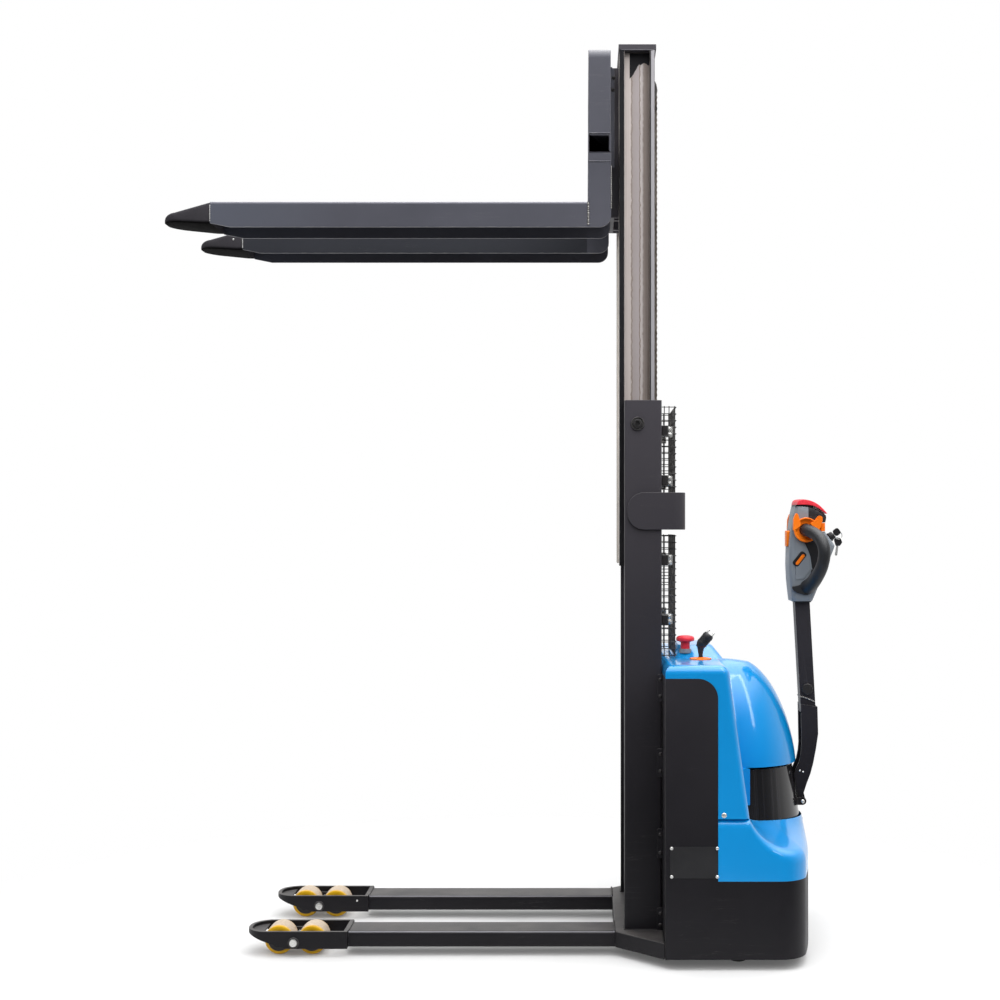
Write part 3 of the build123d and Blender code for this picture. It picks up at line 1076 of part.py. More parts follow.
def nodes():
    """Every named piece of the truck."""
    upper_z = CARRIAGE_ROLLER_Z + ROLLER_SPACING
    parts = {
        "base_frame": base_frame(),
        "straddle_legs": group(both_sides(straddle_leg())),
        "bogie_pins": bogie_pins(),
        "outer_rails": outer_rails(),
        "outer_mast_tie": outer_mast_tie(),
        "outer_roller_pins": outer_roller_pins(),
        "mast_brace": mast_brace(),
        "mesh_guard": mesh_guard(),
        "guard_clamps": guard_clamps(),
        "lift_cylinder": lift_cylinder(),
        "lift_chain_rear": chain_strand(CHAIN_REAR_X, CHAIN_ANCHOR_LOW, PULLEY_Z),
        "lift_chain_front": chain_strand(CHAIN_FRONT_X, CHAIN_ANCHOR_HIGH, PULLEY_Z),
        "lift_chain_wraps": lift_chain_wraps(),
        "inner_rails": inner_rails(),
        "inner_top_plate": inner_top_plate(),
        "piston_rod": piston_rod(),
        "chain_pulleys": chain_pulleys(),
        "inner_rollers": roller_pair(FOOT_ROLLER_X, FOOT_ROLLER_Y, FOOT_ROLLER_Z, FOOT_ROLLER_R,
                                     FOOT_ROLLER_WIDTH),
        "outer_rollers": roller_pair(MAST_X, OUTER_ROLLER_Y, OUTER_ROLLER_Z, ROLLER_R, ROLLER_WIDTH),
        "carriage_rollers_lower": roller_pair(MAST_X, CARRIAGE_ROLLER_Y, CARRIAGE_ROLLER_Z, ROLLER_R,
                                              ROLLER_WIDTH),
        "carriage_rollers_upper": roller_pair(MAST_X, CARRIAGE_ROLLER_Y, upper_z, ROLLER_R, ROLLER_WIDTH),
        "carriage_frame": carriage_frame(),
        "carriage_beam": carriage_beam(),
        "load_backrest": load_backrest(),
        "chassis_shell": chassis_shell(),
        "upper_hood": upper_hood(),
        "lower_hood": lower_hood(),
        "hood_screws": hood_screws(),
        "charger_grommet": charger_grommet(),
        "charger_plug": charger_plug(),
        "battery_pack": battery_pack(),
        "pump_unit": pump_unit(),
        "motor_controller": motor_controller(),
        "hydraulic_hose": hydraulic_hose(),
        "steering_collar": steering_collar(),
        "drive_unit": drive_unit(),
        "drive_wheel": drive_wheel(),
        "tiller_arm": tiller_arm(),
        "tiller_head": tiller_head(),
        "hand_grips": group(hand_grip(side) for side in (-1, 1)),
        "thumb_levers": group(thumb_lever(side) for side in (-1, 1)),
        "reverse_button": reverse_button(),
        "front_button": front_button_body(0, 0),
        "rear_button": rear_button_body(0, 0),
        "estop_button": estop_button(),
        "ignition_key": ignition_key(),
    }
    for name, side in (("left", -1), ("right", 1)):
        parts["fork_" + name] = fork(side)
        parts["bogie_" + name] = bogie(side)
        for place, x in zip(("front", "rear"), wheel_places()):
            parts["load_wheel_" + name + "_" + place] = load_wheel(side, x)
        parts["caster_" + name] = caster_yoke(side)
        parts["caster_wheel_" + name] = caster_wheel(side)
        parts["side_button_" + name] = side_button_body(side, 0, 0)
    return parts


os.makedirs("parts", exist_ok=True)
for node_name, node_shape in nodes().items():
    export_step(node_shape, "parts/" + node_name + ".step")
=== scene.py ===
# %% [markdown]
# An electric walkie stacker, dressed for its portrait.
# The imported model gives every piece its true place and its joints. This notebook only adds looks:
# rounded edges, moulded covers, wire, chain, rubber and paint. Each piece is worked out as arrays of
# points with numpy, put into a mesh, and told which body of the truck it rides on.

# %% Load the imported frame
import json
import bmesh
import bpy
import numpy as np
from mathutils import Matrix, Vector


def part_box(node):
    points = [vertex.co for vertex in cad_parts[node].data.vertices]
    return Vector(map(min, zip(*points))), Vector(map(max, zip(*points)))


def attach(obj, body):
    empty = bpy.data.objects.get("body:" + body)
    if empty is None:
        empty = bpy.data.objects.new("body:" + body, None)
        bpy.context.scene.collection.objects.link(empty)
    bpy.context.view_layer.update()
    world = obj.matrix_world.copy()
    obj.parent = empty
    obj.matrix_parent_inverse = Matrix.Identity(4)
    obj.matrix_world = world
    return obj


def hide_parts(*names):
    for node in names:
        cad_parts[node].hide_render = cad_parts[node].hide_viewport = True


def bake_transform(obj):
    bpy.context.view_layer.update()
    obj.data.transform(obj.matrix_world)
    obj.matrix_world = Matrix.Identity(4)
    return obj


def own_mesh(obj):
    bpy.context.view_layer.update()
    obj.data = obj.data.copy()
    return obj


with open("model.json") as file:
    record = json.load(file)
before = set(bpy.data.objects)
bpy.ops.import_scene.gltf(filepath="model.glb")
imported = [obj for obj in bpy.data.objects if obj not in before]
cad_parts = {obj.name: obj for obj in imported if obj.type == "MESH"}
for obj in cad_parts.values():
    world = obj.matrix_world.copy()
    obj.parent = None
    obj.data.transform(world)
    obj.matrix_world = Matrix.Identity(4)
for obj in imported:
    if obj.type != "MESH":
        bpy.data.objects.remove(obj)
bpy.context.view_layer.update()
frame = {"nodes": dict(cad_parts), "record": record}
MM = 0.001
scene = bpy.context.scene
record = frame["record"]
body_of_node = {node: body for body, nodes in record["behaviour"]["bodies"].items() for node in nodes}
slot_of_node = {part["node"]: part["material_slot"] for part in record["subparts"]}


def mm_box(node):
    """The two corners of a CAD node, in millimetres."""
    low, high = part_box(node)
    return np.array(low) / MM, np.array(high) / MM


def middle_of(node):
    """The middle of a CAD node's box, in millimetres."""
    low, high = mm_box(node)
    return (low + high) / 2


def put(name, data):
    """A new object in the scene, at the origin."""
    thing = bpy.data.objects.new(name, data)
    scene.collection.objects.link(thing)
    return thing


# %% [markdown]
# The camera stands where the photograph was taken: 4.5 m to the left of the truck, about chest high,
# looking straight across. The lens is shifted a little instead of tilted, so uprights stay upright.

# %% Camera
CAMERA_PLACE, LENS, SENSOR, LENS_SHIFT = (0.202, -4.455, 1.161), 56.05, 36.0, (-0.085, 0.026)
camera_data = bpy.data.cameras.new("camera")
camera_data.sensor_width = SENSOR
camera_data.lens = LENS
camera_data.shift_x, camera_data.shift_y = LENS_SHIFT
camera = put("camera", camera_data)
camera.location = CAMERA_PLACE
camera.rotation_euler = (np.pi / 2, 0, 0)
scene.camera = camera
print("camera", CAMERA_PLACE, "lens", LENS)

# %% [markdown]
# Light and paint are both drawn as graphs of small nodes. A few helpers add a node, join its inputs and give
# back its output, so that a graph can be read like the formula it stands for.


# %% Node helpers
def add(tree, kind, values=None, **properties):
    """A node with its properties set; each input is linked if given a socket and written if given a value."""
    new = tree.nodes.new("ShaderNode" + kind)
    for key, value in properties.items():
        setattr(new, key, value)
    for key, value in (values or {}).items():
        if isinstance(value, bpy.types.NodeSocket):
            tree.links.new(value, new.inputs[key])
        else:
            new.inputs[key].default_value = value
    return new


def maths(tree, operation, a, b=0.0, *more):
    """One arithmetic step between two sockets or numbers, repeated from left to right with any others."""
    result = add(tree, "Math", {0: a, 1: b}, operation=operation).outputs[0]
    return maths(tree, operation, result, *more) if more else result


def product(tree, *values):
    """Sockets or numbers multiplied together."""
    return maths(tree, "MULTIPLY", *values)


def span(tree, value, low, high, new_low=0.0, new_high=1.0, how="LINEAR"):
    """A value rescaled from low..high to new_low..new_high and held there."""
    ends = {"Value": value, "From Min": low, "From Max": high, "To Min": new_low, "To Max": new_high}
    return add(tree, "MapRange", ends, interpolation_type=how).outputs[0]


print("node helpers ready")

# %% [markdown]
# Most effects are masks: a number between 0 and 1 that says where one look gives way to another. A mask comes
# from the place of the shaded point, from the way its face looks, or from noise.


# %% Masks, coordinates and noise
def near(tree, value, middle, full, gone, most=1.0):
    """most where |value - middle| is below full, falling evenly to 0 where it reaches gone."""
    apart = maths(tree, "ABSOLUTE", maths(tree, "SUBTRACT", value, middle))
    return span(tree, apart, full, gone, most, 0.0)


def between(tree, value, low, high):
    """1 where low < value < high, else 0."""
    return product(tree, maths(tree, "GREATER_THAN", value, low), maths(tree, "LESS_THAN", value, high))


def mixed(tree, mask, a, b):
    """Colour a where the mask is 0, b where it is 1."""
    a, b = (c if isinstance(c, bpy.types.NodeSocket) else (*c, 1.0) for c in (a, b))
    return add(tree, "Mix", {0: mask, 6: a, 7: b}, data_type="RGBA").outputs[2]


def place(tree):
    """Object coordinates, which are the truck's own metres here."""
    return add(tree, "TexCoord").outputs["Object"]


def coordinate(tree, number):
    """X, Y or Z of the shaded point, in metres."""
    return add(tree, "SeparateXYZ", {0: place(tree)}).outputs[number]


def from_middle(tree):
    """Distance of the shaded point from the truck's middle plane, |y|."""
    return maths(tree, "ABSOLUTE", coordinate(tree, 1))


def facing_up(tree):
    """How far a face looks up: z of its normal."""
    return add(tree, "SeparateXYZ", {0: add(tree, "NewGeometry").outputs["Normal"]}).outputs[2]


def noise(tree, scale, detail, vector=None, roughness=0.5):
    """Noise at the truck's own coordinates, or at a vector that is given."""
    vector = place(tree) if vector is None else vector
    inputs = {"Vector": vector, "Scale": scale, "Detail": detail, "Roughness": roughness}
    return add(tree, "TexNoise", inputs).outputs[0]


print("mask helpers ready")

# %% [markdown]
# Studio light is soft because its sources are large. A wide panel overhead and two in front light the truck
# without showing in its gloss, a narrow strip on the right draws the long highlight of the dome, and two
# panels behind the truck keep its back readable. The white surround lights less from the front, as a room
# does, so that black paint stays black. Straight overhead it is brighter, but only in reflections: that
# stands for a lit ceiling and gives the tops their pale sheen.


# %% Lights and surround
def soft_panel(name, spot, aim, size, power, mirrored):
    """An area light of size (width, height) metres at spot, turned to aim; mirrored shows it in gloss."""
    data = bpy.data.lights.new(name, "AREA")
    data.shape = "RECTANGLE"
    data.size, data.size_y = size
    data.energy = power
    panel = put(name, data)
    panel.location = spot
    panel.visible_glossy = mirrored
    direction = panel.location.copy()
    direction.xyz = [a - s for a, s in zip(aim, spot)]
    panel.rotation_euler = direction.to_track_quat("-Z", "Y").to_euler()


PANELS = [
    ("overhead", (0.1, -0.4, 4.6), (0.2, 0.0, 0.5), (4.0, 3.0), 115, False),
    ("key_front", (0.7, -6.0, 3.9), (0.4, 0.0, 0.9), (5.0, 3.0), 165, False),
    ("high_front", (0.1, -2.3, 3.6), (0.3, 0.0, 2.0), (3.0, 1.2), 34, False),
    ("strip_right", (2.25, -2.15, 3.9), (0.65, 0.0, 0.65), (0.45, 4.2), 56, True),
    ("rear_left", (-3.2, 4.2, 2.8), (0.2, 0.0, 1.0), (2.0, 3.0), 30, True),
    ("rear_right", (3.6, 4.0, 2.8), (0.4, 0.0, 1.0), (2.0, 3.0), 30, False),
]
for row in PANELS:
    soft_panel(*row)
FRONT_DIM, CEILING_GLOW = 0.15, 5.0
world = bpy.data.worlds.new("white_surround")
world.use_nodes = True
sky = world.node_tree
way = add(sky, "SeparateXYZ", {0: add(sky, "TexCoord").outputs["Generated"]}).outputs
rays = add(sky, "LightPath").outputs
dimmer = span(sky, way[1], -0.75, 0.30, FRONT_DIM, 1.0, "SMOOTHSTEP")
brighter = maths(sky, "MAXIMUM", dimmer, rays["Is Camera Ray"])
ceiling = span(sky, way[2], 0.50, 0.95, 0.0, CEILING_GLOW, "SMOOTHSTEP")
glow = maths(sky, "ADD", product(sky, ceiling, rays["Is Glossy Ray"]), brighter)
sky.links.new(glow, sky.nodes["Background"].inputs["Strength"])
sky.nodes["Background"].inputs["Color"].default_value = (1.0, 1.0, 1.0, 1.0)
scene.world = world
print("lights", [light.name for light in bpy.data.lights])

# %% [markdown]
# A mesh is only a list of points and a list of faces. Nearly every piece here is a grid of points whose
# rows are sections and whose columns run round them, so one function that numbers the quads of a grid
# serves turned hubs, swept grips, moulded covers and wire alike. Loops over points would be slow and
# hard to read, so each shape is worked out as whole arrays.


# %% Grids and skins
def points_of(*values):
    """Points from their coordinates, each one a number or an array."""
    return np.stack(np.broadcast_arrays(*values), axis=-1)


def grid_faces(rows, columns):
    """Quads of a grid closed in c: row r, column c joins (r, c), (r, c+1), (r+1, c+1), (r+1, c)."""
    r, c = np.meshgrid(np.arange(rows - 1), np.arange(columns), indexing="ij")
    d = (c + 1) % columns
    quads = points_of(r * columns + c, r * columns + d, (r + 1) * columns + d, (r + 1) * columns + c)
    return quads.reshape(-1, 4).tolist()


def skinned(sections, loop=False):
    """A closed skin over an array (sections, points, 3); loop joins the last section to the first."""
    sections = np.asarray(sections, float)
    if loop:
        sections = np.concatenate([sections, sections[:1]])
    rows, columns = sections.shape[:2]
    faces = grid_faces(rows, columns)
    if not loop:
        faces.append(list(range(columns)))
        faces.append(list(range((rows - 1) * columns, rows * columns)))
    return sections.reshape(-1, 3), faces


def joined(*shapes):
    """Several shapes as one: point arrays stacked, face numbers shifted by the points before them."""
    starts = np.cumsum([0] + [len(points) for points, _ in shapes])
    faces = [[number + start for number in face] for (_, fs), start in zip(shapes, starts) for face in fs]
    return np.concatenate([points for points, _ in shapes]), faces


def moved(shape, shift):
    """The shape shifted."""
    return shape[0] + np.asarray(shift, float), shape[1]


def pair_of(shape):
    """A shape and its mirror image on the other side of the truck, y turned to -y."""
    return [shape, (shape[0] * (1, -1, 1), shape[1])]


def both_sides(shape):
    """A shape and its mirror image as one shape."""
    return joined(*pair_of(shape))


print("a skin over 3 squares has", len(skinned(np.zeros((3, 4, 3)))[1]), "faces")

# %% [markdown]
# Plates, bars and mouldings start as flat outlines. Their corners are rounded by putting an arc where the
# corner was, because a real corner is never sharp, and the outline is then carried straight along an axis.

# %% Outlines and prisms
AXES = {"x": ((0, 1, 0), (0, 0, 1), (1, 0, 0)), "y": ((1, 0, 0), (0, 0, 1), (0, 1, 0)),
        "z": ((1, 0, 0), (0, 1, 0), (0, 0, 1))}


def directions(axis):
    """Unit rows U, V and axis, for the name of an axis or for three rows given outright."""
    return np.array(AXES[axis] if isinstance(axis, str) else axis, float)


def prism(outline, axis, start, end):
    """A flat outline of (u, v) points carried along an axis: u·U + v·V + t·axis, t = start, end."""
    u, v, along = directions(axis)
    flat = np.asarray(outline, float)
    flat = flat[:, :1] * u + flat[:, 1:] * v
    return skinned(flat[None] + np.array([start, end])[:, None, None] * along)


def bend(before, corner, after, radius, steps=6):
    """Arcs of rounded corners: centre + first·sin((1-t)·turn)/sin(turn) + last·sin(t·turn)/sin(turn)."""
    before, corner, after = (np.asarray(point, float) for point in (before, corner, after))
    radius = np.broadcast_to(np.asarray(radius, float), corner.shape[:-1])[..., None]
    a, b = (side / np.linalg.norm(side, axis=-1, keepdims=True) for side in (before - corner, after - corner))
    half = np.arccos(np.clip((a * b).sum(-1, keepdims=True), -0.9999, 0.9999)) / 2
    centre = corner + (a + b) / np.linalg.norm(a + b, axis=-1, keepdims=True) * radius / np.sin(half)
    first, last = (corner + side * radius / np.tan(half) - centre for side in (a, b))
    turn, t = np.pi - 2 * half, np.linspace(0, 1, steps + 1)
    w0, w1 = np.sin((1 - t) * turn) / np.sin(turn), np.sin(t * turn) / np.sin(turn)
    return centre[..., None, :] + first[..., None, :] * w0[..., None] + last[..., None, :] * w1[..., None]


def rounded(corners, radius, steps=6):
    """Closed outlines (..., corners, 2) with every corner turned into an arc."""
    corners = np.asarray(corners, float)
    arcs = bend(np.roll(corners, 1, -2), corners, np.roll(corners, -1, -2), radius, steps)
    return arcs.reshape(*corners.shape[:-2], -1, 2)


def oblong(u, v, radius=0.0, steps=6):
    """Rectangles u[0]..u[1] by v[0]..v[1], numbers or arrays, with round corners if given a radius."""
    corners = np.stack([points_of(u[i], v[j]) for i, j in ((0, 0), (1, 0), (1, 1), (0, 1))], axis=-2)
    return rounded(corners, radius, steps) if np.any(radius) else corners


def at_heights(plan, z):
    """Outlines (rows, points, 2) with the third coordinate of each row added."""
    return np.concatenate([plan, np.broadcast_to(z[:, None, None], plan.shape[:2] + (1,))], axis=-1)


def box(low, high):
    """A block between two corners."""
    (x0, y0, z0), (x1, y1, z1) = low, high
    return prism(oblong((x0, x1), (y0, y1)), "z", z0, z1)


print("a rounded square has", len(oblong((0, 1), (0, 1), 0.1)), "points")

# %% [markdown]
# Bolts, wheels and knobs are made on a lathe or in a round mould, so they are half sections spun about an
# axis. Wire, grips and weld beads are rounds carried along a line, with a size that may change on the way.


# %% Turned and swept pieces
def spun(profile, spot, axis, steps):
    """Points by profile and angle: spot + along·axis + radius·(U·cos t + V·sin t)."""
    u, v, along = directions(axis)
    t = np.linspace(0, 2 * np.pi, steps, endpoint=False)
    out = np.cos(t)[:, None] * u + np.sin(t)[:, None] * v
    profile = np.asarray(profile, float)
    return np.asarray(spot, float) + profile[:, :1, None] * along + profile[:, 1:, None] * out[None]


def turned(profile, spot, axis="y", steps=48):
    """A turned piece: (along, radius) points spun about an axis and closed at both ends."""
    return skinned(spun(profile, spot, axis, steps))


def ring(profile, spot, axis="y", steps=48):
    """A turned piece with a bore: a closed (along, radius) profile carried once round the axis."""
    return skinned(spun(profile, spot, axis, steps).swapaxes(0, 1), loop=True)


def swept(path, profile, up):
    """A closed (a, b) profile carried along a path: path + a·side + b·over, side = tangent × up."""
    path = np.asarray(path, float)
    tangent = np.gradient(path, axis=0)
    side = np.cross(tangent, np.asarray(up, float))
    side /= np.linalg.norm(side, axis=1, keepdims=True)
    over = np.cross(side, tangent)
    over /= np.linalg.norm(over, axis=1, keepdims=True)
    profile = np.broadcast_to(profile, (len(path),) + np.shape(profile)[-2:])
    return skinned(path[:, None] + profile[..., :1] * side[:, None] + profile[..., 1:] * over[:, None])


def disc(radius, sides=16):
    """A round profile of (a, b) points."""
    t = np.linspace(0, 2 * np.pi, sides, endpoint=False)
    return radius * points_of(np.cos(t), np.sin(t))


def bead(points, radius=2.2, pitch=5.0):
    """A weld bead along a line, half sunk: radius·(1 + 0.22·sin(2π·s/pitch) + 0.12·sin(0.71·s))."""
    points = np.asarray(points, float)
    step = np.linalg.norm(np.diff(points, axis=0), axis=1)
    s = np.concatenate([[0], np.cumsum(step)])
    run = np.linspace(0, s[-1], max(int(s[-1] / pitch * 4), 8))
    path = points_of(*(np.interp(run, s, points[:, i]) for i in range(3)))
    swell = radius * (1 + 0.22 * np.sin(2 * np.pi * run / pitch) + 0.12 * np.sin(run * 0.71))
    up = np.eye(3)[np.argmin(np.abs(points[-1] - points[0]))]
    return swept(path, disc(1.0, 8)[None] * swell[:, None, None], up)


def flowing(points, steps=8):
    """A smooth open line: the uniform cubic B-spline of the points, with both ends reached."""
    points = np.asarray(points, float)
    points = np.concatenate([2 * points[:1] - points[1:2], points, 2 * points[-1:] - points[-2:-1]])
    t = np.linspace(0, 1, steps, endpoint=False)[:, None, None]
    p0, p1, p2, p3 = points[:-3], points[1:-2], points[2:-1], points[3:]
    run = ((1 - t) ** 3 * p0 + (3 * t ** 3 - 6 * t ** 2 + 4) * p1
           + (-3 * t ** 3 + 3 * t ** 2 + 3 * t + 1) * p2 + t ** 3 * p3) / 6
    return np.concatenate([run.transpose(1, 0, 2).reshape(-1, points.shape[1]), points[-2:-1]])


print("a test ring has", len(turned([(0, 1), (1, 1)], (0, 0, 0))[0]), "points")

# %% [markdown]
# A shape that was drawn as sections meets itself at poles and seams, so its doubles are merged and its
# normals turned outwards before it is used. Where another piece enters it, a pocket is cut with a Boolean,
# and the result is kept as a plain mesh so that nothing has to be worked out again later.

# %% Clean and carved meshes
MERGE, CAD_MERGE, SLIVER = 0.02 * MM, 2e-6, 1e-7


def cleaned(shape, apart):
    """Points nearer than apart merged, and normals outward, on a bmesh of closed shells."""
    bmesh.ops.remove_doubles(shape, verts=shape.verts, dist=apart)
    bmesh.ops.dissolve_degenerate(shape, edges=shape.edges, dist=SLIVER)
    bmesh.ops.recalc_face_normals(shape, faces=shape.faces)


def shaped(name, shape):
    """A clean mesh, in metres, from a shape in millimetres."""
    mesh = bpy.data.meshes.new(name)
    mesh.from_pydata((shape[0] * MM).tolist(), [], shape[1])
    work = bmesh.new()
    work.from_mesh(mesh)
    cleaned(work, MERGE)
    work.to_mesh(mesh)
    work.free()
    return mesh


def carved(mesh, cutters):
    """The mesh less the cutter shapes, worked out once with a Boolean and kept as a plain mesh."""
    whole = put(mesh.name + "_whole", mesh)
    knives = [put("knife", shaped("knife", shape)) for shape in cutters]
    for knife in knives:
        cut = whole.modifiers.new("cut", "BOOLEAN")
        cut.object, cut.operation, cut.solver = knife, "DIFFERENCE", "EXACT"
    bpy.context.view_layer.update()
    result = bpy.data.meshes.new_from_object(whole.evaluated_get(bpy.context.evaluated_depsgraph_get()))
    for spare in knives + [whole]:
        bpy.data.objects.remove(spare)
    result.materials.clear()
    return result


print("points nearer than", MERGE, "m are merged")

# %% [markdown]
# A finished piece needs the same few steps every time: smooth shading that stops at sharp edges, an optional
# live bevel, a finish, and the body that carries it. A machined or folded part is never razor sharp, and the
# thin highlight on its rounded edge is what makes it read as metal, so the straight CAD pieces are shown as
# bevelled copies.


def dressed(name, mesh, slot, body, stands_for, bevel, segments=2, angle=38):
    """Puts a mesh in the scene with its finish, shading, bevel in millimetres and body."""
    mesh.polygons.foreach_set("use_smooth", np.ones(len(mesh.polygons), bool))
    mesh.set_sharp_from_angle(angle=np.radians(angle))
    mesh.materials.append(finishes[slot])
    thing = put(name, mesh)
    if bevel:
        rounding = thing.modifiers.new("edges", "BEVEL")
        rounding.width, rounding.segments = bevel * MM, segments
        rounding.limit_method, rounding.angle_limit = "ANGLE", np.radians(angle)
        rounding.harden_normals = True
    if body:
        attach(thing, body)
    if stands_for:
        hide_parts(*stands_for)
    return thing


def piece(name, shape, slot, body, stands_for=(), bevel=0.0, cuts=(), **edges):
    """A new piece from a shape in millimetres, with pockets cut where other pieces enter it."""
    mesh = shaped(name, shape)
    if cuts:
        mesh = carved(mesh, cuts)
    return dressed(name, mesh, slot, body, stands_for, bevel, **edges)


FLAT_WITHIN = 0.5


def softened(node, bevel, cuts=()):
    """A copy of a CAD node, its triangles merged back into flat faces and its edges rounded."""
    name = node + "_finished"
    work = bmesh.new()
    work.from_mesh(frame["nodes"][node].data)
    cleaned(work, CAD_MERGE)
    bmesh.ops.dissolve_limit(work, angle_limit=np.radians(FLAT_WITHIN), verts=work.verts, edges=work.edges)
    mesh = bpy.data.meshes.new(name)
    work.to_mesh(mesh)
    work.free()
    if cuts:
        mesh = carved(mesh, cuts)
    return dressed(name, mesh, slot_of_node[node], body_of_node[node], [node], bevel)


print("piece helpers ready")

# %% [markdown]
# Real finishes are never one flat colour. Powder coat has a faint orange peel, steel rubbed by rollers
# has streaks along its travel, edges lose their paint first and dust settles on whatever faces up.
# Each of these effects is needed by several materials, so each one is built once as a shader node group
# with its own inputs, and a material only chooses how much of it to use.


# %% How an effect is shared
def effect(name, output, build, **inputs):
    """A shader group with float inputs and one output, filled by build(tree, its inputs)."""
    tree = bpy.data.node_groups.new(name, "ShaderNodeTree")
    for label, value in inputs.items():
        tree.interface.new_socket(label, in_out="INPUT", socket_type="NodeSocketFloat").default_value = value
    tree.interface.new_socket(output, in_out="OUTPUT", socket_type="NodeSocketFloat")
    start, end = tree.nodes.new("NodeGroupInput"), tree.nodes.new("NodeGroupOutput")
    tree.links.new(build(tree, start.outputs), end.inputs[0])
    return tree


def use(tree, shared, **values):
    """A shared effect placed in a material with its own values; gives its output."""
    new = add(tree, "Group", node_tree=shared)
    for key, value in values.items():
        new.inputs[key].default_value = value
    return new.outputs[0]


print("effects can be shared")

# %% [markdown]
# The first effects are even all over: grain for the bump, clouds for the shade, and hairlines left by cloths,
# straps and passing loads. Each one is noise at its own scale.


# %% Grain, tone and hairlines
def grain_height(tree, given):
    """Fine all-over texture: noise, and half as much of a noise 3.1 times finer."""
    fine = noise(tree, product(tree, given["Scale"], 3.1), 1.0)
    return maths(tree, "ADD", noise(tree, given["Scale"], 2.0), product(tree, fine, 0.5))


def cloud_tone(tree, given):
    """Slow change of shade across a surface, as handling, fading and uneven spraying leave it."""
    return span(tree, noise(tree, given["Scale"], 4.0, roughness=0.6), 0.32, 0.68)


def scratch_mask(tree, given):
    """Thin hairlines: noise stretched along X, kept only near its middle value and only in patches."""
    stretch = {"Vector": place(tree), "Scale": (0.05, 1.0, 1.0), "Rotation": (0.0, 0.12, 0.05)}
    lines = noise(tree, given["Scale"], 6.0, add(tree, "Mapping", stretch).outputs[0])
    patch = span(tree, noise(tree, 5.0, 2.0), 0.52, 0.66)
    return product(tree, near(tree, lines, 0.5, 0.0, 0.006), patch, given["Amount"])


grain = effect("surface_grain", "Height", grain_height, Scale=500.0)
clouds = effect("uneven_tone", "Tone", cloud_tone, Scale=3.0)
scratches = effect("hairline_scratches", "Mask", scratch_mask, Amount=0.4, Scale=60.0)
print("even effects", [tree.name for tree in bpy.data.node_groups])

# %% [markdown]
# The others depend on where a surface lies: edges are rubbed first, dust lies on what faces up, slides are
# drawn along their travel, and road film is thickest near the floor. The same upright streaks give the
# collar its painted reflections. Noise breaks each one up.


# %% Wear, dust, streaks and film
def edge_mask(tree, given):
    """Rubbed edges: where a normal rounded over Radius leaves the true normal, broken up by noise."""
    round_normal = add(tree, "Bevel", {"Radius": given["Radius"]}, samples=4).outputs[0]
    normals = {0: round_normal, 1: add(tree, "NewGeometry").outputs["Normal"]}
    likeness = add(tree, "VectorMath", normals, operation="DOT_PRODUCT").outputs[1]
    chips = span(tree, noise(tree, 55.0, 5.0), 0.46, 0.62)
    return product(tree, span(tree, likeness, 0.985, 0.86), chips, given["Amount"])


def dust_mask(tree, given):
    """Settled dust: grows with how far a face looks up, thinned by patches of noise."""
    patch = span(tree, noise(tree, 14.0, 6.0), 0.18, 0.95)
    return product(tree, span(tree, facing_up(tree), 0.35, 1.0), patch, given["Amount"])


def streak_tone(tree, given):
    """Upright streaks, noise squeezed to run far along Z: marks of a slide's travel, painted reflections on
    the collar.
    """
    x, y, z = (coordinate(tree, number) for number in range(3))
    across = product(tree, maths(tree, "ADD", x, product(tree, y, 0.3)), given["Across"])
    squeezed = add(tree, "CombineXYZ", {0: across, 1: y, 2: product(tree, z, given["Along"])}).outputs[0]
    return span(tree, noise(tree, 1.0, 5.0, squeezed, 0.6), 0.3, 0.7)


def film_mask(tree, given):
    """Road film: strongest at the floor and gone at Height, with a ragged upper edge."""
    level = maths(tree, "DIVIDE", coordinate(tree, 2), given["Height"])
    film = span(tree, maths(tree, "ADD", level, noise(tree, 22.0, 6.0)), 1.35, 0.45)
    return product(tree, film, given["Amount"])


edge_wear = effect("rubbed_edges", "Mask", edge_mask, Radius=0.003, Amount=0.5)
dust = effect("settled_dust", "Mask", dust_mask, Amount=0.4)
streaks = effect("upright_streaks", "Tone", streak_tone, Across=260.0, Along=3.0)
floor_grime = effect("floor_grime", "Mask", film_mask, Height=0.15, Amount=0.5)
print("shared effects", [tree.name for tree in bpy.data.node_groups])

# %% [markdown]
# One recipe covers most finishes: two close shades drifting into each other, hairlines, rubbed edges,
# dust and road film laid over them in that order, a roughness that wanders between two values and a fine
# bump. A finish with a pattern of its own, such as the rubbed rail or the load wheel's tread, passes a small
# function that changes the colour before the wear goes on.

# %% The recipe for a finish
LAYER_ROUGHNESS = 0.3


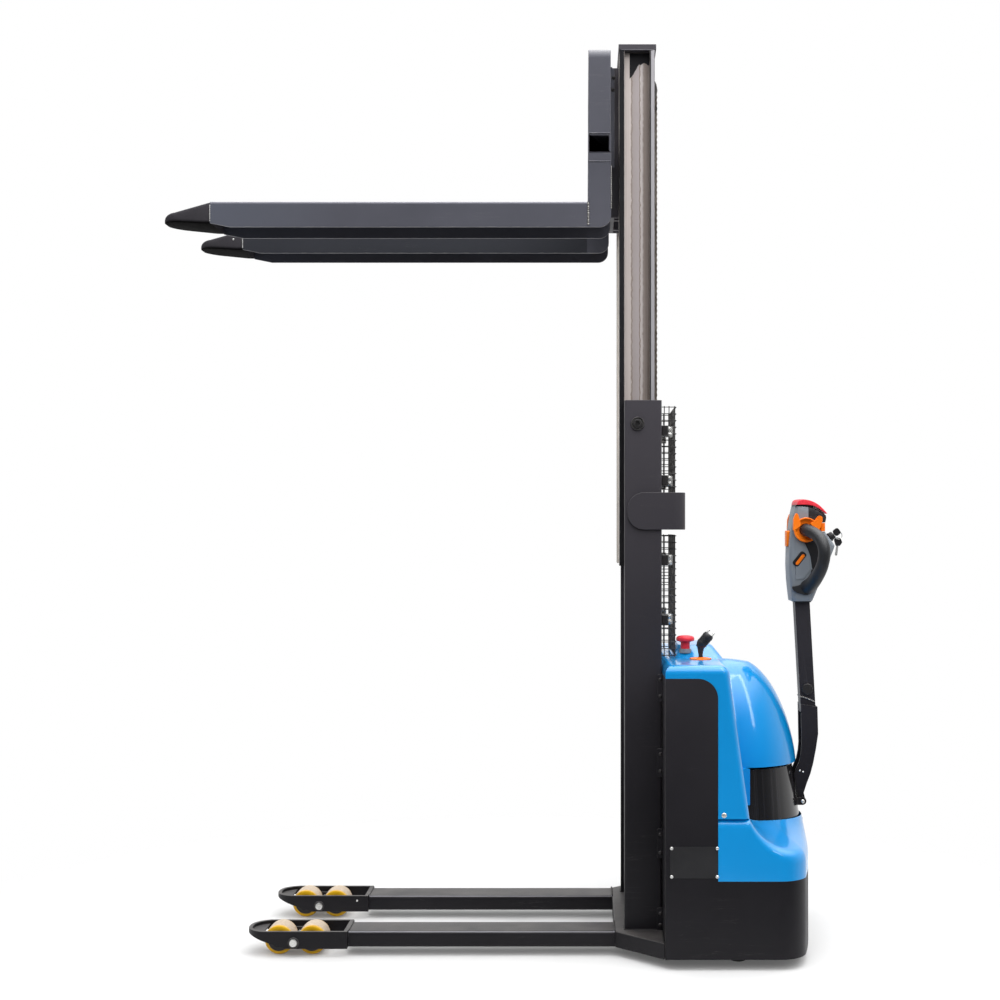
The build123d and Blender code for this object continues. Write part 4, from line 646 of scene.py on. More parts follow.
def finish(name, shade, other_shade, rough, grain_scale, bump, metal=0.0, coat=0.0, coat_rough=0.1, tone=3.0,
           hair=None, worn=None, dusty=None, film=None, pattern=None, specular=0.5):
    """A Principled material; hair, worn, dusty and film are (amount, colour) of each effect."""
    material = bpy.data.materials.new(name)
    material.use_nodes = True
    tree = material.node_tree
    drift = use(tree, clouds, Scale=tone)
    texture = use(tree, grain, Scale=grain_scale)
    colour = mixed(tree, drift, shade, other_shade)
    roughness = span(tree, maths(tree, "ADD", drift, texture), 0.5, 1.6, *rough)
    if pattern:
        colour, roughness = pattern(tree, colour, roughness)
    for shared, layer, lying in ((scratches, hair, False), (edge_wear, worn, False), (dust, dusty, True),
                                 (floor_grime, film, True)):
        if layer:
            mask = use(tree, shared, Amount=layer[0])
            colour = mixed(tree, mask, colour, layer[1])
            if lying:
                roughness = maths(tree, "ADD", roughness, product(tree, mask, LAYER_ROUGHNESS))
    raised = add(tree, "Bump", {"Strength": bump, "Distance": 0.001, "Height": texture})
    shader = tree.nodes["Principled BSDF"]
    tree.links.new(colour, shader.inputs["Base Color"])
    tree.links.new(roughness, shader.inputs["Roughness"])
    tree.links.new(raised.outputs[0], shader.inputs["Normal"])
    for label, value in (("Metallic", metal), ("Coat Weight", coat), ("Coat Roughness", coat_rough),
                         ("Specular IOR Level", specular)):
        shader.inputs[label].default_value = value
    return material


print("the recipe is ready")

# %% [markdown]
# A few finishes have a pattern that belongs to a place on the truck: bare bands on the rails, painted
# highlights and painted shade on legs, forks and rails, the mould line of the tiller head. Where a node's
# box gives the place, it is taken from there, and the other numbers were measured.

# %% Where the patterns lie, in metres
fork_low, fork_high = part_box("fork_left")
rail_low, rail_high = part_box("inner_rails")
FORK_TOP = fork_low.z + 68 * MM
FORK_HEEL, FORK_INNER = fork_high.x - 64 * MM, -fork_high.y + 1.5 * MM
RAIL_FLANGE = 14 * MM
RAIL_BARE = (rail_low.x + RAIL_FLANGE - 0.0005, rail_high.x - RAIL_FLANGE + 0.0005)
RAIL_INNER_EDGE, RAIL_PAINT_FOOT = rail_high.y - 66 * MM, rail_high.z - 24 * MM
# Colours across the bare web: roller-worn steel, darkening as painted shade towards the rear flange.
RAIL_WEAR_AND_SHADE_ENDS = [(0.47, 0.42, 0.40), (0.13, 0.105, 0.09)]
RAIL_WEAR_AND_SHADE_BANDS = [(0.26, (0.50, 0.45, 0.43)), (0.30, (0.16, 0.115, 0.085)), (0.345, (0.30, 0.265, 0.26)),
              (0.59, (0.36, 0.325, 0.33)), (0.625, (0.17, 0.12, 0.085)), (0.66, (0.56, 0.52, 0.51)),
              (0.72, (0.50, 0.46, 0.45)), (0.77, (0.22, 0.18, 0.16))]
HEAD_PART_X, HEAD_PART_Z = 0.8335, 1.150
LEG_EDGES, LEG_RIM, LEG_SPAN = (0.1500, 0.2540), 0.0670, (-0.436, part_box("base_frame")[0].x)
print("bare rail from", RAIL_BARE[0], "to", RAIL_BARE[1])

# %% [markdown]
# Rollers keep the rails bare in upright bands. On the rails, forks and legs the patterns also lay painted
# shade and painted highlights, and the mast's paint grows paler towards the top as painted light. Each
# pattern is a mask over the coordinates that lays one more colour on the paint.


# %% Patterns of the steelwork
def rubbed_and_lit_rail(tree, colour, roughness):
    """Roller-worn bare bands between the flanges under ragged paint, with painted shade and a painted
    highlight.
    """
    x, z = coordinate(tree, 0), coordinate(tree, 2)
    across = span(tree, x, *RAIL_BARE)
    ragged = noise(tree, 60.0, 3.0)
    shaken = maths(tree, "ADD", across, span(tree, ragged, 0.0, 1.0, -0.05, 0.05))
    bands = add(tree, "ValToRGB", {0: shaken})
    stops = bands.color_ramp.elements
    for stop, shade in zip(stops, RAIL_WEAR_AND_SHADE_ENDS):
        stop.color = (*shade, 1)
    for spot, shade in RAIL_WEAR_AND_SHADE_BANDS:
        stops.new(spot).color = (*shade, 1)
    streak_mask = span(tree, use(tree, streaks, Across=420.0, Along=2.2), 0.0, 1.0, 0.0, 0.45)
    steel = mixed(tree, streak_mask, bands.outputs[0], (0.30, 0.27, 0.265))
    drop = span(tree, across, 0.24, 0.60, RAIL_PAINT_FOOT - 0.048, RAIL_PAINT_FOOT - 0.006)
    left = product(tree, maths(tree, "LESS_THAN", across, 0.22), 0.09)
    edge = maths(tree, "ADD", drop, left, span(tree, ragged, 0.0, 1.0, -0.012, 0.012))
    bare = product(tree, between(tree, x, *RAIL_BARE), maths(tree, "LESS_THAN", z, edge))
    # Painted highlight along the near face of the rear flange.
    lit = near(tree, x, RAIL_BARE[1] + 0.0080, 0.0040, 0.0055, 0.85)
    colour = mixed(tree, lit, colour, (0.36, 0.35, 0.37))
    colour = mixed(tree, bare, colour, steel)
    inner_edge = maths(tree, "LESS_THAN", from_middle(tree), RAIL_INNER_EDGE)
    colour = mixed(tree, inner_edge, colour, (0.62, 0.57, 0.52))
    return colour, maths(tree, "ADD", roughness, product(tree, bare, 0.08))


def painted_top_light_and_leg_highlight(tree, colour, roughness):
    """Paint painted paler towards the mast top, where more light falls, and a painted highlight on the legs'
    top edges.
    """
    x, z = coordinate(tree, 0), coordinate(tree, 2)
    # Painted light: the paint grows paler with height, as the lamps light the top more.
    colour = mixed(tree, span(tree, z, 0.30, 1.50, 0.0, 0.85), colour, (0.060, 0.056, 0.065))
    out = from_middle(tree)
    # Painted highlight along the legs' upper edges, where the overhead light glints.
    beside = maths(tree, "MAXIMUM", *(near(tree, out, edge, 0.0015, 0.0045) for edge in LEG_EDGES))
    leg_edge_highlight = product(tree, beside, near(tree, z, LEG_RIM, 0.0010, 0.0030), between(tree, x, *LEG_SPAN))
    return mixed(tree, leg_edge_highlight, colour, (0.40, 0.40, 0.45)), roughness


def fork_painted_light(tree, colour, roughness):
    """Fork paint with painted light: a bluer sheen towards the tip, shade on the inner sides, a highlight on
    the top edge.
    """
    x, z = coordinate(tree, 0), coordinate(tree, 2)
    # Painted sheen: bluer and lighter towards the tip.
    colour = mixed(tree, span(tree, x, -0.45, -0.80), colour, (0.082, 0.088, 0.112))
    blade = maths(tree, "LESS_THAN", x, FORK_HEEL)
    # Painted highlight along the blade's top edge.
    rim = product(tree, blade, near(tree, z, FORK_TOP - 2 * MM, 0.002, 0.005, 0.75))
    colour = mixed(tree, rim, colour, (0.20, 0.20, 0.235))
    # Painted shade on the inner sides of the blades.
    inner = product(tree, maths(tree, "LESS_THAN", from_middle(tree), FORK_INNER), blade)
    return mixed(tree, inner, colour, (0.026, 0.0275, 0.034)), roughness


def painted_underside_shade(tree, colour, roughness):
    """Painted shade: the casting is painted darker on faces that look down."""
    return mixed(tree, span(tree, facing_up(tree), -0.25, -0.8), colour, (0.0035, 0.0033, 0.0035)), roughness


print("steel patterns ready")

# %% [markdown]
# The steering collar gets painted reflections in upright streaks, the tiller head is moulded in two colours,
# and the load wheels go pale where they roll.


# %% Patterns of the mouldings and the wheels
def painted_streak_reflections(tree, colour, roughness):
    """Glossy moulding with painted reflections in upright streaks."""
    streak_mask = span(tree, use(tree, streaks, Across=70.0, Along=0.6), 0.45, 1.0, 0.0, 0.75)
    return mixed(tree, streak_mask, colour, (0.042, 0.038, 0.040)), roughness


def two_tone(tree, colour, roughness):
    """Grey moulding with its upper rear quarter in black, parted by a straight mould line."""
    above = maths(tree, "GREATER_THAN", coordinate(tree, 2), HEAD_PART_Z)
    behind = maths(tree, "GREATER_THAN", coordinate(tree, 0), HEAD_PART_X)
    return mixed(tree, product(tree, above, behind), colour, (0.014, 0.014, 0.016)), roughness


def rolled_tread(tree, colour, roughness):
    """Yellow polyurethane whose running band has gone pale and dusty."""
    band = add(tree, "Attribute", attribute_name="tread").outputs["Fac"]
    speckle = span(tree, noise(tree, 160.0, 5.0), 0.35, 0.7)
    pale = mixed(tree, speckle, (0.42, 0.33, 0.24), (0.55, 0.46, 0.36))
    return mixed(tree, band, colour, pale), maths(tree, "ADD", roughness, product(tree, band, 0.15))


print("moulding and wheel patterns ready")

# %% [markdown]
# The table of finishes gives two shades, the range of roughness, the scale of the grain and the depth of its
# bump, and then whatever sets the finish apart.

# %% Finishes of the truck
BARE_METAL, DUST, ROAD_FILM = (0.32, 0.31, 0.30), (0.30, 0.28, 0.26), (0.115, 0.105, 0.095)
FINISHES = {
    # Black paint's dust on up-facing faces is real dust, laid on thickly enough to also paint the sheen of
    # the leg tops.
    "black_paint": ((0.0058, 0.0053, 0.0072), (0.0086, 0.0080, 0.0102), (0.34, 0.50), 650, 0.10, dict(
        specular=0.20, pattern=painted_top_light_and_leg_highlight, hair=(0.35, (0.07, 0.068, 0.066)), worn=(0.30, (0.10, 0.098, 0.095)),
        dusty=(0.26, DUST), film=(0.02, ROAD_FILM))),
    "grey_paint": ((0.056, 0.057, 0.071), (0.069, 0.070, 0.087), (0.32, 0.48), 650, 0.10, dict(
        specular=0.35, pattern=fork_painted_light, hair=(0.3, (0.13, 0.13, 0.13)), worn=(0.5, (0.26, 0.255, 0.25)),
        dusty=(0.2, DUST))),
    "rail_steel": ((0.007, 0.0068, 0.0085), (0.011, 0.0106, 0.0126), (0.36, 0.52), 420, 0.12, dict(
        specular=0.25, pattern=rubbed_and_lit_rail, worn=(0.5, BARE_METAL))),
    "chromed_rod": ((0.60, 0.61, 0.63), (0.68, 0.69, 0.70), (0.07, 0.18), 900, 0.01, dict(metal=1.0)),
    "roller_steel": ((0.17, 0.165, 0.16), (0.27, 0.26, 0.25), (0.28, 0.45), 600, 0.04, dict(metal=1.0)),
    "chain_steel": ((0.12, 0.10, 0.085), (0.24, 0.215, 0.19), (0.3, 0.5), 700, 0.05, dict(
        metal=0.85, tone=30)),
    "zinc_steel": ((0.62, 0.62, 0.61), (0.76, 0.76, 0.74), (0.22, 0.42), 900, 0.04, dict(
        metal=0.75, tone=40)),
    "black_steel": ((0.022, 0.021, 0.022), (0.034, 0.032, 0.033), (0.32, 0.5), 700, 0.05, dict(
        metal=0.3, specular=0.4, worn=(0.4, BARE_METAL))),
    "blue_cover": ((0.0, 0.250, 0.62), (0.0, 0.264, 0.65), (0.26, 0.36), 260, 0.010, dict(
        coat=0.7, coat_rough=0.09, tone=1.6, specular=0.22, hair=(0.10, (0.2, 0.46, 0.75)))),
    "gloss_black_cover": ((0.006, 0.0056, 0.0065), (0.009, 0.0085, 0.0095), (0.12, 0.24), 240, 0.015, dict(
        coat=0.35, coat_rough=0.06, specular=0.3, pattern=painted_streak_reflections, hair=(0.25, (0.08, 0.075, 0.07)),
        dusty=(0.08, DUST))),
    "orange_plastic": ((0.93, 0.185, 0.006), (0.97, 0.215, 0.011), (0.34, 0.48), 900, 0.03, dict(
        tone=12, specular=0.3)),
    "red_plastic": ((0.68, 0.030, 0.050), (0.76, 0.042, 0.064), (0.30, 0.44), 800, 0.015, dict(
        tone=10, specular=0.3)),
    "grey_plastic": ((0.195, 0.218, 0.246), (0.220, 0.245, 0.275), (0.42, 0.58), 1100, 0.14, dict(
        tone=10, specular=0.3, pattern=two_tone, hair=(0.2, (0.3, 0.31, 0.33)))),
    "black_plastic": ((0.012, 0.012, 0.0135), (0.018, 0.018, 0.020), (0.38, 0.55), 1000, 0.10, dict(
        tone=10, specular=0.3)),
    "black_rubber": ((0.013, 0.014, 0.016), (0.020, 0.021, 0.024), (0.40, 0.56), 850, 0.12, dict(
        tone=12, specular=0.4)),
    "matt_black": ((0.040, 0.038, 0.043), (0.058, 0.055, 0.062), (0.5, 0.7), 700, 0.08, dict(
        tone=9, specular=0.005, pattern=painted_underside_shade)),
    "black_tyre": ((0.022, 0.021, 0.020), (0.040, 0.038, 0.036), (0.6, 0.8), 420, 0.2, dict(
        tone=14, film=(0.3, ROAD_FILM))),
    "yellow_polyurethane": ((0.66, 0.36, 0.006), (0.78, 0.45, 0.012), (0.30, 0.46), 380, 0.06, dict(
        tone=18, specular=0.35, pattern=rolled_tread)),
}
finishes = {name: finish(name, *row[:-1], **row[-1]) for name, row in FINISHES.items()}
for node, thing in frame["nodes"].items():
    thing.data.materials.clear()
    thing.data.materials.append(finishes[slot_of_node[node]])
print("finishes", len(finishes), "given to", len(frame["nodes"]), "nodes")

# %% [markdown]
# The truck stands on a pale studio floor. Only the soft shadow near the wheels is wanted, so the floor is
# a disc that turns clear towards its rim and leaves no horizon line behind the truck.

# %% Floor
FLOOR_RADIUS, FLOOR_FADE, FLOOR_ALPHA = 2.6, (0.9, 1.8), 0.9


def floor_rings(count=24, around=96):
    """A flat disc: rings r·(cos t, sin t, 0) at even radii r."""
    r = FLOOR_RADIUS * np.linspace(0.002, 1, count)[:, None]
    t = np.linspace(0, 2 * np.pi, around, endpoint=False)
    return points_of(r * np.cos(t), r * np.sin(t), 0.0).reshape(-1, 3), grid_faces(count, around)


floor_points, floor_faces = floor_rings()
floor_mesh = bpy.data.meshes.new("studio_floor")
floor_mesh.from_pydata(floor_points.tolist(), [], floor_faces)
pale_floor = finish("pale_floor", (0.80, 0.80, 0.80), (0.83, 0.83, 0.83), (0.7, 0.85), 120, 0.02, tone=0.6,
                    specular=0.1)
floor_tree = pale_floor.node_tree
distance = add(floor_tree, "VectorMath", {0: place(floor_tree)}, operation="LENGTH").outputs[1]
floor_tree.links.new(span(floor_tree, distance, *FLOOR_FADE, FLOOR_ALPHA, 0.0),
                     floor_tree.nodes["Principled BSDF"].inputs["Alpha"])
floor_mesh.materials.append(pale_floor)
studio_floor = put("studio_floor", floor_mesh)
scene.view_settings.view_transform = "Standard"
print("floor", FLOOR_RADIUS, "m")

# %% [markdown]
# The welded and folded steel keeps its CAD shape and only gets its edges rounded. The bevel width says
# how the part was made: a rolled rail or a folded strap has a soft corner, a sawn bar a smaller one.

# %% Bevelled steelwork
EDGE_BEVELS = {
    "base_frame": 4.0, "straddle_legs": 2.0, "outer_rails": 1.5, "outer_mast_tie": 2.0, "mast_brace": 1.5,
    "inner_rails": 2.0, "inner_top_plate": 2.5, "carriage_frame": 2.0, "carriage_beam": 3.0,
    "load_backrest": 2.0, "chassis_shell": 1.5,
    "bogie_left": 1.5, "bogie_right": 1.5, "tiller_arm": 1.2, "lift_cylinder": 1.5, "piston_rod": 0.8,
    "chain_pulleys": 1.0, "inner_rollers": 0.8, "outer_rollers": 0.8, "carriage_rollers_lower": 0.8,
    "carriage_rollers_upper": 0.8, "drive_unit": 2.0, "drive_wheel": 0.8, "caster_left": 1.2,
    "caster_right": 1.2, "caster_wheel_left": 0.8, "caster_wheel_right": 0.8, "battery_pack": 4.0,
    "pump_unit": 3.0, "motor_controller": 3.0, "hydraulic_hose": 0.5, "steering_collar": 1.5,
}
for node, width in EDGE_BEVELS.items():
    softened(node, width)
print("bevelled copies", len(EDGE_BEVELS))

# %% [markdown]
# A fork is a folded channel with a cast nose welded into its end. The nose is blunt in plan and in side view
# and rises a little underneath, so that it finds a pallet's pocket. It could be cut from a block, but as a
# row of rounded rectangles along X each curve is one line of arithmetic.

# %% Forks and their noses
fork_foot, fork_head = mm_box("fork_left")
fork_middle = middle_of("fork_left")[1]
TIP_X, FORK_LEVEL, NOSE_FOOT = fork_foot[0], FORK_TOP / MM, fork_foot[2] + 11
NOSE_LENGTH, NOSE_HALF, NOSE_TAPER, NOSE_ROUND = 136.0, 84.7, 22.0, 45.0
NOSE_DROP, DROP_RUN, NOSE_BLUNT = 24.0, 100.0, 36.0
NOSE_RISE, RISE_RUN, TIP_THICKNESS = 9.0, 120.0, 3.0


def nose_sections(steps=26):
    """Rounded rectangles along x.

    The half width tapers and ends in a quarter circle. The top slopes down and ends in a quarter ellipse.
    The foot rises in a straight line towards the tip.
    """
    run = 0.3 + (NOSE_LENGTH + 1.2) * (1 - np.cos(np.linspace(0, np.pi / 2, steps)))

    def left(length):
        """Share of a length from the tip that is still ahead of each section."""
        return np.clip(1 - run / length, 0, 1)

    end = NOSE_ROUND * (1 - np.sqrt(1 - left(NOSE_ROUND) ** 2))
    half = NOSE_HALF - NOSE_TAPER * left(NOSE_LENGTH) - end
    slope = FORK_LEVEL - 0.3 - NOSE_DROP * np.clip((NOSE_LENGTH - run) / DROP_RUN, 0, 1)
    foot = NOSE_FOOT + NOSE_RISE * left(RISE_RUN)
    tip = foot + TIP_THICKNESS
    top = tip + (slope - tip) * np.sqrt(1 - left(NOSE_BLUNT) ** 2)
    radius = np.minimum(10, 0.42 * (top - foot))[:, None]
    plan = oblong((-half, half), (foot, top), radius, 4)
    return np.roll(at_heights(plan, TIP_X + run), 1, axis=-1)


nose_end = TIP_X + NOSE_LENGTH + 1
beyond = box((TIP_X - 50, -400, NOSE_FOOT - 100), (nose_end, 400, NOSE_FOOT + 150))
for node in ("fork_left", "fork_right"):
    softened(node, 1.5, cuts=[beyond])
noses = both_sides(moved(skinned(nose_sections()), (0, fork_middle, 0)))
fork_noses = piece("fork_noses", noses, "black_paint", "carriage", angle=50)
fork_noses.data.materials[0] = finishes["matt_black"]
# The seams where noses meet forks are weld beads in pale zinc, which also paints the highlight on the step.
seams_with_highlight = joined(*(bead([(nose_end, y, NOSE_FOOT + 4), (nose_end, y, FORK_LEVEL - 8)], 1.3)
                 for y in (fork_foot[1] - 0.2, fork_head[1] + 0.2)))
piece("nose_seams_with_highlight", both_sides(seams_with_highlight), "zinc_steel", "carriage")
print("fork noses", len(fork_noses.data.polygons), "faces")

# %% [markdown]
# The blue covers are vacuum formed or moulded shells. The upper hood is a box whose back leans forward,
# with a tunnel running out of it that ends in half a dome over the steering collar. In plan it is always
# the same run of lines and arcs, so it is drawn as one outline per height: its rows are heights, its
# columns follow the outline, and the soft deck edge is only a few rows that draw in along a quarter circle.

# %% Upper hood
hood_low, hood_high = mm_box("upper_hood")
deck = mm_box("charger_grommet")[0][2]
axis_x = middle_of("drive_wheel")[0]
half_width = hood_high[1]
HOOD_FRONT, SEAM, HOOD_WALL = hood_low[0], hood_low[2], 6.5
PANEL_BACK, PANEL_TOP, PANEL_ROUND = 549.6, 762.6, 52.6
DECK_ROUND, BACK_TOP, BACK_FOOT = 24.0, 577.0, 633.0
CROWN, CROWN_ROUND, DOME_R, VALLEY_R, CORNER_R = 783.0, 9.0, 170.5, 26.0, 20.0
RECESS_TOP, RECESS_R, RECESS_STEP, RECESS_LIP = 495.0, 187.0, 3.0, 22.0


def edge_levels(top, radius, count):
    """Heights of a rounded edge, crowded towards its top: top - radius·(1 - sin t)."""
    return top - radius + radius * np.sin(np.linspace(0, np.pi / 2, count))


def drawn_in(z, top, radius):
    """How far a rounded edge has drawn in at height z: radius - sqrt(radius² - rise²)."""
    rise = np.clip(z - top + radius, 0, radius)
    return radius - np.sqrt(radius ** 2 - rise ** 2)


def upper_hood_rows():
    """Outlines (x, y) by height z; tunnel half width = R·sqrt(1 - u^1.5), u from recess top to crown."""
    rise = CROWN - (CROWN - RECESS_TOP - 0.1) * np.linspace(1, 0, 46) ** 2
    z = np.unique(np.concatenate([[SEAM, RECESS_TOP], rise, edge_levels(PANEL_TOP, PANEL_ROUND, 12),
                                  [PANEL_TOP + 0.1], edge_levels(deck, DECK_ROUND, 9)]))
    draw_in = drawn_in(z, deck, DECK_ROUND)
    side = -half_width + draw_in
    back = BACK_TOP + (BACK_FOOT - BACK_TOP) * (deck - z) / (deck - SEAM) - draw_in
    inner = HOOD_FRONT + draw_in
    front = np.where(z > PANEL_TOP, inner + 0.5, PANEL_BACK - drawn_in(z, PANEL_TOP, PANEL_ROUND))
    u = np.clip((z - RECESS_TOP) / (CROWN - RECESS_TOP), 0, 1)
    recess = z <= RECESS_TOP
    wide = np.where(recess, RECESS_R + RECESS_STEP, DOME_R * np.sqrt(1 - u ** 1.5))
    reach = back + (axis_x - back) * np.sqrt(np.clip((CROWN - z) / CROWN_ROUND, 0, 1))
    reach = np.where(recess, axis_x + RECESS_LIP, reach)
    a, b, c = points_of(back, side), points_of(back, -wide), points_of(reach + 0.01, -wide)
    outer = bend(points_of(front, side), a, b, np.maximum(CORNER_R - 0.7 * draw_in, 5), 8)
    valley = bend(a, b, c, np.minimum(VALLEY_R, 0.8 * (reach - back) + 0.005), 6)
    turn = np.linspace(-np.pi / 2, np.pi / 2, 49)
    end = points_of(reach[:, None] + wide[:, None] * np.cos(turn), wide[:, None] * np.sin(turn))
    lip = np.arcsin(RECESS_LIP / RECESS_R)
    turn = np.linspace(-np.pi / 2 + lip, -3 * np.pi / 2 - lip, 47)
    hollow = points_of(axis_x + RECESS_R * np.cos(turn), RECESS_R * np.sin(turn))
    mouth = np.array([axis_x + RECESS_LIP, RECESS_R + RECESS_STEP])
    hollow = np.concatenate([[mouth * (1, -1)], hollow, [mouth]])
    end = np.where(recess[:, None, None], hollow, end)
    inner = np.where(z > PANEL_TOP, inner, HOOD_FRONT + HOOD_WALL)
    lead = [points_of(inner, side + HOOD_WALL), points_of(front, side + HOOD_WALL), points_of(front, side)]
    near_side = np.concatenate([np.stack(lead, axis=1), outer, valley], axis=1)
    plan = np.concatenate([near_side, end, near_side[:, ::-1] * (1, -1)], axis=1)
    return at_heights(plan, z)


hood_rows = upper_hood_rows()
print("upper hood", hood_rows.shape[0], "rows of", hood_rows.shape[1], "points")

# %% [markdown]
# In the middle of the deck the moulding rises to a low console with sloping sides. Its outline only shrinks
# as it rises, so it is one rounded rectangle blended into a smaller one, and it is joined to the hood.

# %% Console and the finished hood
CONSOLE_SINK = 3.0
CONSOLE_GROWTH = np.array([0, 0.35, 0.7, 0.86, 0.95, 1.02, 1.10])
CONSOLE_RISE = np.array([0, 0.38, 0.74, 0.90, 0.965, 0.992, 1.0])


def console_rows():
    """The raised console: outline = foot + g·(head - foot), with g and the height on a rounded shoulder."""
    foot, head = oblong((448, 584), (-152, 152), 26, 8), oblong((464, 556), (-92, 92), 22, 8)
    plan = foot + CONSOLE_GROWTH[:, None, None] * (head - foot)
    low = deck - CONSOLE_SINK
    return at_heights(plan, low + (hood_high[2] - low) * CONSOLE_RISE)


hood_shape = joined(skinned(hood_rows), skinned(console_rows()))
upper_hood = piece("upper_hood_shell", hood_shape, "blue_cover", "chassis", ["upper_hood"])
print("upper hood", len(upper_hood.data.polygons), "faces")

# %% [markdown]
# The lower hood wraps the drive unit. Its wall follows the bowed tail of the truck, rolls over a crease
# that swoops down from the seam, and a shelf runs from the crease to a round rim that frames the collar.

# %% Lower hood
tail_low, tail_high = mm_box("lower_hood")
TAIL_BOW, TAIL_CORNER, RIM_R = 55.0, 80.0, 187.0
CREASE_LOW, CREASE_DROP, CREASE_RUN = 294.0, 101.5, 52.0
LIP_LOW, LIP_FLARE, LIP_ROUND, LIP_DEPTH = 346.0, 40.0, 5.0, 16.0
ROLL_BELOW, ROLL_INSIDE = 28.0, 30.0


def curve(start, middle, end, steps=8):
    """The quadratic curve (1-t)²·start + 2t(1-t)·middle + t²·end."""
    t = np.linspace(0, 1, steps)[:, None, None]
    return (1 - t) ** 2 * start + 2 * t * (1 - t) * middle + t ** 2 * end


def tail_wall():
    """The outline (x, y) of the wall: straight sides, round corners and a bow x = tail - bow·(y/half)²."""
    tail = tail_high[0]
    corner = np.array([tail - TAIL_BOW, -half_width])
    slope = np.array([2 * TAIL_BOW / half_width, 1.0])
    turn = bend((tail_low[0], -half_width), corner, corner + 200 * slope, TAIL_CORNER, 16)
    y = np.linspace(turn[-1, 1], 0, 24)[1:]
    back = points_of(tail - TAIL_BOW * (y / half_width) ** 2, y)
    ahead = points_of(np.linspace(PANEL_BACK, BACK_FOOT, 8), -half_width)
    side = points_of(np.linspace(BACK_FOOT + 0.3, turn[0, 0], 34)[:-1], -half_width)
    near_side = np.concatenate([ahead, side, turn, back])
    return np.concatenate([near_side, near_side[-2::-1] * (1, -1)])


def lower_hood_sections():
    """Closed sections: wall, crease at low + drop·exp(-(x - seam)/run), shelf to the rim, inside wall."""
    wall = tail_wall()
    x, y = wall.T
    behind = x > BACK_FOOT
    turn = np.abs(np.arctan2(y, x - axis_x))
    degrees = np.degrees(turn)
    rim_x = np.where(behind, axis_x + RIM_R * np.cos(turn), x)
    rim_y = np.where(behind, RIM_R * np.sin(turn), np.sqrt(RIM_R ** 2 - np.minimum(x - axis_x, 0) ** 2))
    crease = np.where(behind, CREASE_LOW + CREASE_DROP * np.exp(-(x - BACK_FOOT) / CREASE_RUN), tail_high[2])
    lip = np.where(behind, LIP_LOW + degrees / 10 + LIP_FLARE * np.exp((degrees - 90) / 3), tail_high[2])
    inward = points_of(rim_x, np.sign(y) * rim_y) - wall
    run = np.linalg.norm(inward, axis=1, keepdims=True)
    inward /= run

    def line(shift, height):
        """Points shift mm inside the wall, at a height for each column."""
        return np.concatenate([wall + shift * inward, height[:, None]], axis=1)

    soft = np.minimum(ROLL_INSIDE, 0.5 * run)
    slope_up = (lip - crease)[:, None] / run
    shelf_start = line(soft, crease + (slope_up * soft)[:, 0])
    shelf_end = line(run - LIP_ROUND, lip - (slope_up * LIP_ROUND)[:, 0])
    roll = curve(line(0, crease - ROLL_BELOW), line(0, crease), shelf_start)
    shelf = shelf_start + np.linspace(0, 1, 9)[1:, None, None] * (shelf_end - shelf_start)
    over = curve(shelf_end, line(run, lip), line(run, lip - LIP_ROUND))
    foot = np.full(len(x), tail_low[2])
    under = [line(run, lip - LIP_DEPTH), line(run - 4, lip - LIP_DEPTH),
             line(np.minimum(6, run), np.minimum(crease, lip) - 20), line(np.minimum(5, run), foot)]
    return np.concatenate([[line(0, foot)], roll, shelf, over[1:], under]).transpose(1, 0, 2)


tail_shape = skinned(lower_hood_sections())
lower_hood = piece("lower_hood_shell", tail_shape, "blue_cover", "chassis", ["lower_hood"])
print("lower hood", len(lower_hood.data.polygons), "faces")

# %% [markdown]
# On the deck sit the stop button, a mushroom that can be slapped from any side, and the charging plug,
# parked in an orange grommet. All of them are turned or moulded parts, so they are profiles spun about an
# axis. The plug leans, so its axis is given outright.

# %% Deck fittings
stop_low, stop_high = mm_box("estop_button")
stop_spot = (*middle_of("estop_button")[:2], 0)
MUSHROOM = [(stop_low[2], 12.4), (837, 12.8), (839, 14.5), (840.5, 20), (841.5, 24), (844, 25.4), (849, 25.2),
            (852.5, 23.4), (855, 19), (856.5, 11), (stop_high[2], 0.01)]
piece("estop_mushroom", turned(MUSHROOM, stop_spot, "z"), "red_plastic", "estop_button", ["estop_button"])
STOP_SEAT = [(808, 13), (808, 17), (816, 17), (819.5, 15.6), (820, 13)]
piece("estop_seat_ring", ring(STOP_SEAT, stop_spot, "z"), "grey_plastic", "chassis")

lead_spot = np.array([*middle_of("charger_grommet")[:2], 0])
GROMMET = [(-0.5, 29), (1.5, 29.9), (3.4, 28.6), (4, 25), (2.8, 22.5), (3, 11), (5.5, 9.5), (5.5, 0.01)]
piece("lead_grommet", turned(np.array(GROMMET) + (deck, 0), lead_spot, "z"), "orange_plastic", "chassis",
      ["charger_grommet"])
PLUG_TILT, PLUG_ELBOW = np.radians(40), lead_spot + (0, 0, 836)
PLUG_AXES = np.array([[np.cos(PLUG_TILT), 0, -np.sin(PLUG_TILT)], [0, 1, 0],
                      [np.sin(PLUG_TILT), 0, np.cos(PLUG_TILT)]])
PLUG_NECK = [(deck + 4, 6.5), (808, 5.8), (814, 6.6), (835, 10.6), (841, 11), (846, 9)]
RIB = ((0, 14.9), (0.5, 13.8), (1.5, 13.8), (2.0, 14.9))
ribs = [(start + along, radius) for start in np.arange(9, 27, 3.0) for along, radius in RIB]
PLUG_HEAD = [(-10, 8), (-2, 12), (2, 14.2), (7, 15)] + ribs + [(30, 15), (35, 14), (37.6, 12), (38, 0.01)]
plug = joined(turned(PLUG_NECK, lead_spot, "z", 32), turned(PLUG_HEAD, PLUG_ELBOW, PLUG_AXES, 32))
piece("lead_plug", plug, "black_rubber", "chassis", ["charger_plug"])
